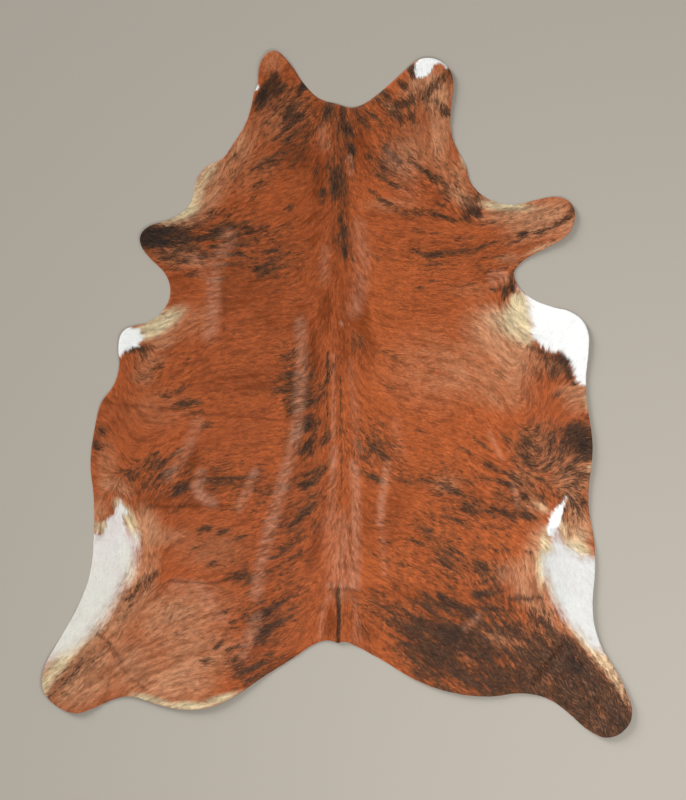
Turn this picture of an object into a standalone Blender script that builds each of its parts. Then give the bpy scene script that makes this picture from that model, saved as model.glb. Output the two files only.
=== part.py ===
"""Cowhide rug: one whole hide with its hair on, laid flat on the floor, hair side up.

The hide is a single soft sheet of even thickness. Its knife-cut edge is a smooth curve through the
landmarks that a tanner would name. Its underside lies on z = 0 and leaves the floor only along the
hide's own low folds and creases, and where the rim curls up a little.

Metres, +Z up. +Y runs from the tail to the neck, and +X is to the right as the hide is seen from
above. The origin is the middle of the hide's bounding box, on the floor.
"""

from collections import namedtuple

import bmesh
import bpy
from mathutils import Vector

# Driving dimensions
THICKNESS = 0.004  # 2 mm of tanned skin and 2 mm of hair lying on it
GRID_STEP = 0.034  # between the points that carry the folds
EDGE_STEPS = 4  # straight chords between two landmarks of the edge
MARGIN = 0.05  # how far the uncut skin runs past the edge all round
CUT_DEPTH = 0.2  # height of the cutting prism, well over the highest fold

COAT_COLOUR = (0.38, 0.105, 0.035, 1.0)
COAT_ROUGHNESS = 0.62

# The edge, clockwise from the left cheek: stretch by stretch, each landmark as (across, along).
# The tail root is the one place where the edge turns in a point.
EDGE = {
    "left cheek": (
        (-0.264, 1.030),
        (-0.262, 1.065),
        (-0.250, 1.115),
        (-0.211, 1.145),
        (-0.160, 1.104),
        (-0.108, 1.031),
        (-0.059, 0.985),
    ),
    "neck": (
        (0.000, 0.967),
        (0.047, 0.954),
        (0.085, 0.965),
    ),
    "right cheek": (
        (0.141, 1.004),
        (0.235, 1.087),
        (0.268, 1.112),
        (0.306, 1.120),
        (0.345, 1.109),
        (0.378, 1.076),
        (0.387, 1.037),
        (0.379, 0.950),
        (0.379, 0.880),
    ),
    "right shoulder": (
        (0.400, 0.815),
        (0.428, 0.764),
        (0.445, 0.704),
        (0.480, 0.666),
        (0.530, 0.639),
        (0.590, 0.631),
    ),
    "right foreleg": (
        (0.664, 0.647),
        (0.725, 0.657),
        (0.767, 0.647),
        (0.789, 0.620),
        (0.790, 0.575),
        (0.767, 0.530),
        (0.700, 0.489),
        (0.634, 0.454),
        (0.600, 0.424),
    ),
    "right armpit": (
        (0.588, 0.403),
        (0.600, 0.368),
    ),
    "right belly": (
        (0.640, 0.325),
        (0.716, 0.291),
        (0.780, 0.273),
        (0.818, 0.245),
        (0.838, 0.200),
        (0.838, 0.150),
        (0.829, 0.050),
        (0.836, -0.050),
        (0.851, -0.160),
        (0.849, -0.225),
        (0.838, -0.320),
        (0.840, -0.395),
    ),
    "right hind leg": (
        (0.856, -0.480),
        (0.860, -0.577),
        (0.852, -0.735),
        (0.877, -0.835),
        (0.930, -0.925),
        (0.972, -1.013),
        (0.983, -1.065),
        (0.965, -1.112),
        (0.904, -1.145),
        (0.840, -1.121),
        (0.771, -1.062),
        (0.704, -1.016),
    ),
    "right rump": (
        (0.617, -0.997),
        (0.510, -1.008),
        (0.395, -0.997),
        (0.272, -0.957),
        (0.144, -0.883),
        (0.051, -0.834),
        (0.020, -0.824),
    ),
    "tail root": ((0.004, -0.833),),
    "left rump": (
        (-0.010, -0.824),
        (-0.035, -0.821),
        (-0.066, -0.829),
        (-0.151, -0.883),
        (-0.258, -0.951),
        (-0.349, -1.012),
        (-0.420, -1.042),
        (-0.492, -1.051),
        (-0.590, -1.037),
        (-0.652, -1.015),
    ),
    "left hind leg": (
        (-0.694, -1.007),
        (-0.737, -1.015),
        (-0.833, -1.055),
        (-0.875, -1.064),
        (-0.930, -1.042),
        (-0.972, -1.002),
        (-0.983, -0.962),
        (-0.972, -0.905),
        (-0.928, -0.824),
        (-0.865, -0.712),
        (-0.825, -0.605),
    ),
    "left belly": (
        (-0.811, -0.480),
        (-0.811, -0.340),
        (-0.822, -0.234),
        (-0.808, -0.117),
        (-0.785, -0.028),
        (-0.745, 0.028),
        (-0.725, 0.095),
        (-0.728, 0.164),
    ),
    "left flap": (
        (-0.715, 0.207),
        (-0.670, 0.229),
        (-0.625, 0.240),
        (-0.571, 0.291),
        (-0.555, 0.345),
        (-0.572, 0.400),
    ),
    "left foreleg": (
        (-0.627, 0.457),
        (-0.655, 0.500),
        (-0.655, 0.530),
        (-0.627, 0.559),
        (-0.575, 0.575),
        (-0.504, 0.615),
        (-0.480, 0.655),
        (-0.472, 0.705),
        (-0.440, 0.755),
    ),
    "left neck": (
        (-0.380, 0.787),
        (-0.346, 0.835),
        (-0.305, 0.900),
        (-0.285, 0.960),
        (-0.274, 1.010),
    ),
}
POINTED = {"tail root"}

# What lifts the hide off the floor. Each fold is a run of crest sections, and between two sections
# its place, half width and lift change evenly.
Crest = namedtuple("Crest", "across along half_width lift")

FOLDS = {
    "left back fold": (
        Crest(-0.124, 0.230, 0.080, 0.0030),
        Crest(-0.124, -0.020, 0.085, 0.0080),
        Crest(-0.164, -0.220, 0.090, 0.0110),
        Crest(-0.224, -0.437, 0.085, 0.0110),
        Crest(-0.252, -0.560, 0.080, 0.0060),
        Crest(-0.292, -0.790, 0.085, 0.0080),
    ),
    "ridge of the back": (
        Crest(0.020, 0.300, 0.060, 0.0020),
        Crest(0.022, -0.100, 0.070, 0.0050),
        Crest(0.025, -0.400, 0.078, 0.0085),
        Crest(0.025, -0.640, 0.078, 0.0085),
        Crest(0.022, -0.700, 0.070, 0.0045),
        Crest(0.015, -0.825, 0.075, 0.0070),
    ),
    "ridge of the neck": (
        Crest(0.025, 0.960, 0.070, 0.0060),
        Crest(0.015, 0.720, 0.060, 0.0040),
        Crest(0.020, 0.500, 0.055, 0.0020),
    ),
    "right back fold": (
        Crest(0.160, -0.180, 0.080, 0.0040),
        Crest(0.148, -0.330, 0.080, 0.0075),
        Crest(0.140, -0.470, 0.075, 0.0040),
    ),
    "left shoulder fold": (
        Crest(-0.390, 0.440, 0.080, 0.0050),
        Crest(-0.415, 0.340, 0.085, 0.0090),
        Crest(-0.440, 0.230, 0.080, 0.0040),
    ),
    "left flank fold": (
        Crest(-0.455, -0.080, 0.080, 0.0040),
        Crest(-0.500, -0.185, 0.085, 0.0080),
        Crest(-0.540, -0.270, 0.080, 0.0040),
    ),
    "left belly fold": (
        Crest(-0.457, -0.270, 0.070, 0.0070),
        Crest(-0.440, -0.360, 0.070, 0.0060),
    ),
    "left waist fold": (
        Crest(-0.285, -0.250, 0.065, 0.0040),
        Crest(-0.330, -0.390, 0.065, 0.0065),
    ),
    "left thigh fold": (
        Crest(-0.450, -0.630, 0.080, 0.0040),
        Crest(-0.390, -0.740, 0.085, 0.0085),
        Crest(-0.360, -0.900, 0.080, 0.0040),
    ),
    "right flank fold": (
        Crest(0.512, -0.120, 0.070, 0.0040),
        Crest(0.552, -0.253, 0.070, 0.0075),
        Crest(0.600, -0.370, 0.070, 0.0040),
    ),
    "right thigh fold": (
        Crest(0.420, -0.640, 0.075, 0.0040),
        Crest(0.570, -0.600, 0.080, 0.0080),
        Crest(0.720, -0.660, 0.075, 0.0050),
    ),
    "left flank crease": (
        Crest(-0.800, -0.030, 0.048, 0.0050),
        Crest(-0.440, -0.060, 0.048, 0.0060),
        Crest(-0.260, -0.100, 0.045, 0.0020),
    ),
    "left thigh crease": (
        Crest(-0.680, -0.615, 0.045, 0.0030),
        Crest(-0.500, -0.622, 0.048, 0.0060),
        Crest(-0.340, -0.632, 0.045, 0.0030),
    ),
    "left hock crease": (
        Crest(-0.850, -0.730, 0.048, 0.0040),
        Crest(-0.737, -0.857, 0.050, 0.0080),
        Crest(-0.690, -0.930, 0.050, 0.0070),
        Crest(-0.640, -1.005, 0.048, 0.0050),
    ),
    "right hock crease": (
        Crest(0.770, -0.820, 0.050, 0.0040),
        Crest(0.705, -0.900, 0.052, 0.0080),
        Crest(0.650, -0.970, 0.050, 0.0060),
    ),
    "right armpit crease": (
        Crest(0.545, 0.385, 0.048, 0.0050),
        Crest(0.550, 0.240, 0.048, 0.0030),
    ),
    "left cheek rim": (
        Crest(-0.262, 1.060, 0.100, 0.0060),
        Crest(-0.200, 1.150, 0.110, 0.0090),
    ),
    "right cheek rim": (
        Crest(0.290, 1.130, 0.105, 0.0080),
        Crest(0.390, 1.070, 0.105, 0.0090),
        Crest(0.385, 0.930, 0.090, 0.0040),
    ),
    "right foreleg rim": (
        Crest(0.800, 0.640, 0.110, 0.0080),
        Crest(0.790, 0.540, 0.100, 0.0090),
        Crest(0.690, 0.475, 0.080, 0.0050),
    ),
    "right belly rim": (
        Crest(0.790, 0.280, 0.100, 0.0060),
        Crest(0.850, 0.180, 0.115, 0.0100),
        Crest(0.835, 0.020, 0.100, 0.0060),
        Crest(0.858, -0.180, 0.105, 0.0090),
        Crest(0.845, -0.360, 0.095, 0.0050),
    ),
    "right hind leg rim": (
        Crest(0.870, -0.560, 0.095, 0.0060),
        Crest(0.865, -0.740, 0.110, 0.0110),
        Crest(0.950, -0.930, 0.100, 0.0070),
        Crest(0.990, -1.070, 0.110, 0.0100),
        Crest(0.900, -1.150, 0.110, 0.0110),
        Crest(0.790, -1.090, 0.090, 0.0060),
    ),
    "right rump rim": (
        Crest(0.600, -1.005, 0.085, 0.0040),
        Crest(0.420, -1.010, 0.105, 0.0090),
        Crest(0.230, -0.940, 0.090, 0.0050),
    ),
    "left rump rim": (
        Crest(-0.280, -0.980, 0.085, 0.0050),
        Crest(-0.420, -1.050, 0.110, 0.0110),
        Crest(-0.560, -1.050, 0.105, 0.0100),
        Crest(-0.660, -1.015, 0.085, 0.0060),
    ),
    "left hind leg rim": (
        Crest(-0.870, -1.070, 0.100, 0.0090),
        Crest(-0.990, -0.980, 0.105, 0.0100),
        Crest(-0.960, -0.860, 0.085, 0.0050),
    ),
    "left foreleg rim": (
        Crest(-0.650, 0.480, 0.080, 0.0060),
        Crest(-0.660, 0.550, 0.095, 0.0090),
        Crest(-0.580, 0.575, 0.075, 0.0040),
    ),
    "left flap rim": (
        Crest(-0.740, 0.110, 0.080, 0.0050),
        Crest(-0.715, 0.215, 0.090, 0.0080),
    ),
}


def clear_scene():
    for item in list(bpy.data.objects):
        bpy.data.objects.remove(item, do_unlink=True)


def new_collection(name):
    group = bpy.data.collections.new(name)
    bpy.context.scene.collection.children.link(group)
    return group


def coat_material():
    material = bpy.data.materials.new("hair_on_hide")
    material.use_nodes = True
    shader = material.node_tree.nodes["Principled BSDF"]
    shader.inputs["Base Color"].default_value = COAT_COLOUR
    shader.inputs["Roughness"].default_value = COAT_ROUGHNESS
    shader.inputs["Metallic"].default_value = 0.0
    return material


def edge_curve(group):
    """The edge as a closed, filled curve, as thick as the cutting prism is high."""
    landmarks = [(place, name in POINTED) for name, run in EDGE.items() for place in run]
    curve = bpy.data.curves.new("edge_cutter", "CURVE")
    curve.dimensions = "2D"
    curve.fill_mode = "BOTH"
    curve.extrude = CUT_DEPTH / 2
    curve.resolution_u = EDGE_STEPS
    curve.render_resolution_u = EDGE_STEPS
    spline = curve.splines.new("BEZIER")
    spline.bezier_points.add(len(landmarks) - 1)
    spline.use_cyclic_u = True
    for point, ((across, along), pointed) in zip(spline.bezier_points, landmarks):
        point.co = (across, along, 0.0)
        point.handle_left_type = "VECTOR" if pointed else "AUTO"
        point.handle_right_type = "VECTOR" if pointed else "AUTO"
    outline = bpy.data.objects.new("edge_cutter", curve)
    group.objects.link(outline)
    return outline


def as_mesh(item, group):
    """A mesh object in the curve's place, with its caps welded on. The curve is removed."""
    bpy.context.view_layer.update()
    graph = bpy.context.evaluated_depsgraph_get()
    mesh = bpy.data.meshes.new_from_object(item.evaluated_get(graph))
    soup = bmesh.new()
    soup.from_mesh(mesh)
    bmesh.ops.remove_doubles(soup, verts=soup.verts, dist=0.00001)
    bmesh.ops.recalc_face_normals(soup, faces=soup.faces)
    soup.to_mesh(mesh)
    soup.free()
    name, place = item.name, item.matrix_world.copy()
    bpy.data.objects.remove(item, do_unlink=True)
    solid = bpy.data.objects.new(name, mesh)
    solid.matrix_world = place
    group.objects.link(solid)
    return solid


def centre_on_origin(solid):
    """Moves the mesh so that the middle of its box, seen from above, is the origin. Returns that box."""
    corners = [vertex.co for vertex in solid.data.vertices]
    low = Vector(min(corner[axis] for corner in corners) for axis in range(3))
    high = Vector(max(corner[axis] for corner in corners) for axis in range(3))
    shift = -(low + high) / 2
    for vertex in solid.data.vertices:
        vertex.co += shift
    return low + shift, high + shift


def rise(place, start, end):
    """How much one stretch of a fold, between two crest sections, lifts a place on the floor."""
    here = Vector((start.across, start.along))
    run = Vector((end.across, end.along)) - here
    part = max(0.0, min(1.0, (place - here).dot(run) / run.length_squared))
    half_width = start.half_width + (end.half_width - start.half_width) * part
    away = (place - here - run * part).length / half_width
    if away >= 1.0:
        return 0.0
    return (start.lift + (end.lift - start.lift) * part) * (1.0 - away * away) ** 2


def lift_at(across, along):
    """Height of the underside: in each fold the highest stretch counts, and folds add up."""
    place = Vector((across, along))
    return sum(
        max(rise(place, start, end) for start, end in zip(sections, sections[1:]))
        for sections in FOLDS.values()
    )


def uncut_skin(group, low, high):
    """The skin before it is cut: a folded sheet, a little larger than the hide all round."""
    wide = high.x - low.x + 2 * MARGIN
    long = high.y - low.y + 2 * MARGIN
    soup = bmesh.new()
    bmesh.ops.create_grid(
        soup,
        x_segments=round(wide / GRID_STEP),
        y_segments=round(long / GRID_STEP),
        size=0.5,
    )
    for vertex in soup.verts:
        across, along = vertex.co.x * wide, vertex.co.y * long
        vertex.co = (across, along, lift_at(across, along))
    mesh = bpy.data.meshes.new("hide")
    soup.to_mesh(mesh)
    soup.free()
    skin = bpy.data.objects.new("hide", mesh)
    group.objects.link(skin)
    body = skin.modifiers.new("body of the skin", "SOLIDIFY")
    body.thickness = THICKNESS
    body.offset = 1.0
    return skin


def build_hide(parts, cutters):
    cutter = as_mesh(edge_curve(cutters), cutters)
    low, high = centre_on_origin(cutter)
    cutter.display_type = "WIRE"
    cutter.hide_render = True

    hide = uncut_skin(parts, low, high)
    cut = hide.modifiers.new("knife-cut edge", "BOOLEAN")
    cut.operation = "INTERSECT"
    cut.solver = "EXACT"
    cut.object = cutter
    hide.data.materials.append(coat_material())
    return hide


def main():
    clear_scene()
    parts = new_collection("cowhide_rug")
    cutters = new_collection("cutters")
    build_hide(parts, cutters)


main()
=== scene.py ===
"""Looks of a cowhide rug: the skin as a thin laid sheet, and the lying hair that covers it.

The hide is seen from above with its neck up. "across" is +X, "along" is +Y from the tail to the
neck, and every size is in metres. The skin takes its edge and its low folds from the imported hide.
The coat is worked out on a plan of the hide: which way the hair lies, and how much of each colour
there is. The hair then grows lock by lock, and each lock takes its colour from its root.
"""

import functools
import math
from collections import namedtuple

import bpy
import numpy as np
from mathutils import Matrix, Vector
from mathutils.bvhtree import BVHTree
from mathutils.geometry import delaunay_2d_cdt

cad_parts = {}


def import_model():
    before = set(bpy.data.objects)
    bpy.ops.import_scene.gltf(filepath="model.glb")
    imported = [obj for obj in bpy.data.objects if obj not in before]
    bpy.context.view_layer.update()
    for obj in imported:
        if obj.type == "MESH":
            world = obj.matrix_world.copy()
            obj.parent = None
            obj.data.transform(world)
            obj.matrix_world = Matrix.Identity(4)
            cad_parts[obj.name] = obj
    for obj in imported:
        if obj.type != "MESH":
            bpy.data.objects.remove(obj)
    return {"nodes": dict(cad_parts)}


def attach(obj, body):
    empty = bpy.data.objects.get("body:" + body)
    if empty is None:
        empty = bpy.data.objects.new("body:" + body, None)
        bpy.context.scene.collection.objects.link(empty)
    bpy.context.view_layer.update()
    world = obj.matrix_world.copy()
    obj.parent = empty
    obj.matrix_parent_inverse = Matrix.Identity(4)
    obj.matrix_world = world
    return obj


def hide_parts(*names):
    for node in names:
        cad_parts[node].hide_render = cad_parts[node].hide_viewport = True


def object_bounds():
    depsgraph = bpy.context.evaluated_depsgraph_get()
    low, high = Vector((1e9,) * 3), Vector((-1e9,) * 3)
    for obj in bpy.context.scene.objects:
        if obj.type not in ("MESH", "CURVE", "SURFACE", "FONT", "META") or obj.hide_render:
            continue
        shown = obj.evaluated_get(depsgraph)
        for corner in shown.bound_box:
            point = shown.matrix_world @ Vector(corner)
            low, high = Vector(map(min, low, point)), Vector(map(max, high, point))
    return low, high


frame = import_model()
CAD_BOX = [list(corner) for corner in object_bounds()]
HIDE = frame["nodes"]["hide"]

bl_info = {
    "name": "Cowhide rug",
    "version": (1, 0, 0),
    "blender": (4, 5, 0),
    "location": "3D View > Sidebar > Cowhide",
    "description": "Dresses a flat hide with its skin and its lying brindle hair",
    "category": "Add Mesh",
}

# The plan of the hide
PLAN_STEP = 0.0025
PLAN_MARGIN = 0.03
FOLD_PROBE = 0.012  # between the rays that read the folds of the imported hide
FOLD_SOFTNESS = 0.016
EDGE_PROBE = 0.002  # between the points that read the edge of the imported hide
EDGE_STEP = 0.005
EDGE_SOFTNESS = 0.008
EDGE_REACH = 0.06  # how far from the edge its distance is known
CALM_RIM = 0.03  # how far in from the edge the skin gets all its ripples and creases
DEEPEST_RIPPLE = 0.0006
SEED = 11

# Unevenness of the coat: the grain of each kind, and how far it is drawn out along the hair
CLOUD_GRAIN = 0.040
WAVE_GRAIN = 0.022
TUFT = (0.0055, 0.030)
STREAK = (0.0026, 0.042)
FLECK = (0.0018, 0.006)
COMB_STEP = 0.003  # between the places along a hair that share their unevenness

# The tables give places and lengths in whole millimetres, angles in whole degrees from +X towards
# +Y, and amounts in hundredths. The columns of a row are those of the record named over its table.
MILLIMETRES = 1000
HUNDREDTHS = 100
COLUMN_UNITS = {"heading": 1, "turn": 1, "amount": HUNDREDTHS, "depth": HUNDREDTHS, "shade": HUNDREDTHS}


def record(kind, row):
    """A table's row as a record, in metres, degrees and parts of one."""
    units = (COLUMN_UNITS.get(name, MILLIMETRES) for name in kind._fields)
    return kind(*(np.divide(value, unit) for value, unit in zip(row, units)))


# Where the hair lies: the heading to which it points at each guide
Guide = namedtuple("Guide", "across along heading")

HAIR_GUIDES = {
    "back": (
        (10, 930, -90), (10, 720, -90), (15, 520, -90), (15, 320, -90), (15, 130, -90), (15, -50, -90),
        (18, -220, -90), (20, -400, -90), (20, -560, -90), (10, -720, -90), (5, -810, -90),
    ),
    "left of the back": (
        (-60, 850, -112), (-85, 600, -140), (-60, 400, -125), (-45, 100, -105), (-32, -20, -98),
        (-85, 0, -172), (-48, -160, -122), (-45, -260, -135), (-100, -300, -160), (-50, -480, -122),
        (-100, -560, -153), (-45, -740, -108), (-120, -700, -150),
    ),
    "left side": (
        (-150, 500, -167), (-150, 300, -174), (-200, 100, 180), (-200, -100, -178), (-220, -280, -170),
        (-200, -480, -167), (-300, 450, -177), (-350, 200, -174), (-350, -20, 180), (-360, -250, -177),
        (-400, -400, -172), (-500, 100, -160), (-480, -60, -170), (-600, 80, -142), (-550, -150, -160),
        (-600, -210, -138), (-550, -280, -148), (-500, -500, -163),
    ),
    "left belly": (
        (-640, 120, 112), (-690, 120, 100), (-710, 0, 108), (-720, -100, 120), (-780, -100, 140),
        (-790, -180, 150), (-730, -220, 125), (-800, -290, 178), (-780, -380, -100), (-690, -310, -60),
        (-640, -320, -125),
    ),
    "left shoulder": (
        (-300, 560, -164), (-450, 500, 180), (-600, 520, 176), (-450, 400, -178), (-400, 300, -170),
        (-450, 220, -148), (-540, 190, -145), (-600, 215, -160), (-690, 190, -170), (-500, 600, -158),
        (-440, 680, -125), (-350, 650, -150),
    ),
    "left neck": (
        (-200, 680, -164), (-250, 760, -154), (-350, 770, -118), (-300, 850, -114), (-150, 840, -150),
        (-180, 930, -140), (-250, 980, -122), (-210, 1060, -135), (-210, 1120, -110), (-100, 970, -142),
    ),
    "right neck": (
        (60, 850, -72), (110, 930, -38), (200, 990, -40), (200, 1040, -45), (260, 1070, -78),
        (300, 1030, -95), (360, 1050, -100), (300, 930, -82), (340, 850, -78), (230, 820, -40),
        (350, 750, -50), (290, 730, -32), (410, 700, -46), (180, 700, -22), (90, 700, -40),
    ),
    "right shoulder": (
        (440, 640, -60), (300, 615, -10), (150, 600, -8), (200, 500, -5), (350, 490, 0), (480, 500, 18),
        (600, 530, 14), (700, 570, 20), (760, 610, 28), (550, 610, 12), (600, 470, 22), (550, 430, 10),
        (460, 400, 12), (300, 390, 4), (570, 350, -110),
    ),
    "right side": (
        (75, 420, -60), (100, 260, -32), (180, 350, -6), (300, 280, 0), (200, 180, -10), (350, 180, -8),
        (450, 270, -25), (420, 150, -22), (530, 240, -45), (600, 270, -38), (520, 100, -42),
        (570, 180, -52), (300, 50, -10), (200, 0, -15), (100, 0, -36), (55, 20, -66), (70, -100, -55),
        (140, -150, -33), (220, -100, -15), (320, -100, -12), (420, -140, -24), (500, -150, -38),
        (560, -40, -55),
    ),
    "right flank": (
        (550, -260, -30), (600, -330, -33), (660, -400, -33), (610, -180, -52), (660, 130, 92),
        (650, 0, 88), (700, 80, 82), (760, 100, 58), (700, -80, 84), (800, 0, 18), (800, -90, 32),
        (815, -160, 14), (720, -190, 76), (765, -220, 58), (825, -240, 0), (745, -285, 42),
        (800, -268, 4), (800, -305, -12), (835, -310, -38), (820, -380, -58), (780, -390, -90),
        (815, -470, -18), (765, -450, -80), (710, -330, -70),
    ),
    "right loin": (
        (100, -260, -28), (300, -300, -13), (150, -400, -13), (400, -400, -24), (500, -420, -26),
        (650, -490, -34), (100, -560, -25), (220, -500, -16), (350, -560, -35), (460, -530, -36),
        (670, -570, -92),
    ),
    "right rump": (
        (100, -690, -24), (210, -720, -33), (300, -800, -28), (200, -850, -34), (400, -880, -35),
        (500, -950, -40), (400, -700, -30), (500, -620, -58), (600, -640, -85), (660, -720, -72),
        (560, -760, -52), (600, -860, -50), (700, -900, -50), (800, -900, -55), (900, -1050, -60),
        (760, -1000, -48), (900, -950, -58), (780, -650, -75),
    ),
    "left rump": (
        (-200, -750, -152), (-180, -850, -152), (-300, -650, -163), (-300, -850, -165),
        (-300, -930, -160), (-450, -640, -168), (-420, -740, -158), (-450, -860, -176),
        (-500, -1000, -166), (-600, -720, -145), (-600, -900, -160), (-680, -440, -58),
        (-600, -440, -110), (-650, -560, -98), (-690, -660, -122), (-780, -780, -132), (-860, -880, -132),
        (-850, -980, -140), (-740, -980, -145), (-760, -550, -95),
    ),
}
GUIDE_STEP = 0.02
GUIDE_CORE = 0.015  # within this a guide's pull no longer grows
GUIDE_SHARPNESS = 3.6

# White patches: the line where each ends on the hide. Where a patch reaches the hide's edge, its line
# runs outside that edge. Softness is how far the white fades over the line, amount how white the
# patch gets, and shade how bright its hair is, 50 in full white.
Patch = namedtuple("Patch", "softness amount shade outline")
PATCH_REACH = 0.05  # how far from its line a patch's distance is known
PATCH_FRAY = 0.006  # at the most, how raggedly a patch ends

WHITE_PATCHES = {
    "right cheek": (3, 100, 50, (
        (272, 1140), (270, 1112), (262, 1088), (265, 1060), (285, 1055), (302, 1061), (316, 1076),
        (324, 1096), (345, 1102), (368, 1083), (390, 1120),
    )),
    "left cheek nick": (2, 100, 50, (
        (-275, 1030), (-262, 1032), (-256, 1022), (-266, 1012), (-280, 1014),
    )),
    "right belly": (6, 100, 50, (
        (660, 330), (662, 262), (652, 204), (652, 180), (690, 156), (722, 140), (747, 137), (767, 130),
        (779, 112), (783, 92), (792, 68), (796, 46), (808, 30), (860, 34), (900, 200), (760, 360),
    )),
    "right belly, inner border": (16, 100, 50, (
        (610, 360), (636, 325), (640, 290), (646, 256), (651, 226), (658, 196), (700, 190), (760, 240),
        (760, 330),
    )),
    "left flap": (4, 100, 50, (
        (-700, 240), (-688, 218), (-658, 212), (-646, 192), (-668, 160), (-694, 152), (-712, 136),
        (-740, 118), (-780, 200),
    )),
    "left hind tuft": (6, 80, 41, (
        (-850, -466), (-792, -466), (-775, -448), (-764, -412), (-745, -404), (-737, -380), (-726, -357),
        (-714, -374), (-697, -396), (-712, -408), (-706, -440), (-700, -500), (-760, -560), (-850, -560),
    )),
    "left hind leg": (28, 74, 40, (
        (-850, -480), (-780, -490), (-735, -470), (-700, -462), (-670, -480), (-668, -512), (-680, -560),
        (-696, -604), (-718, -644), (-750, -698), (-778, -744), (-808, -780), (-840, -814), (-882, -846),
        (-930, -874), (-985, -900), (-1020, -930), (-1000, -700),
    )),
    "right flank sliver": (3, 100, 50, (
        (761, -348), (748, -368), (716, -398), (706, -420), (700, -448), (702, -470), (726, -474),
        (736, -446), (744, -420), (752, -396), (757, -370),
    )),
    "right hind leg": (22, 94, 21, (
        (731, -462), (748, -494), (772, -512), (792, -530), (812, -544), (845, -546), (900, -548),
        (960, -780), (950, -850), (890, -854), (866, -848), (840, -836), (812, -800), (776, -764),
        (744, -722), (724, -682), (712, -640), (698, -600), (690, -565), (694, -536), (720, -524),
        (728, -500),
    )),
}

# Broad washes of a tone: each an ellipse, turned from +X, that fades out to its rim. The brindle is
# how thickly the coat is streaked with dark hair.
Wash = namedtuple("Wash", "across along half_length half_width turn amount")

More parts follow.
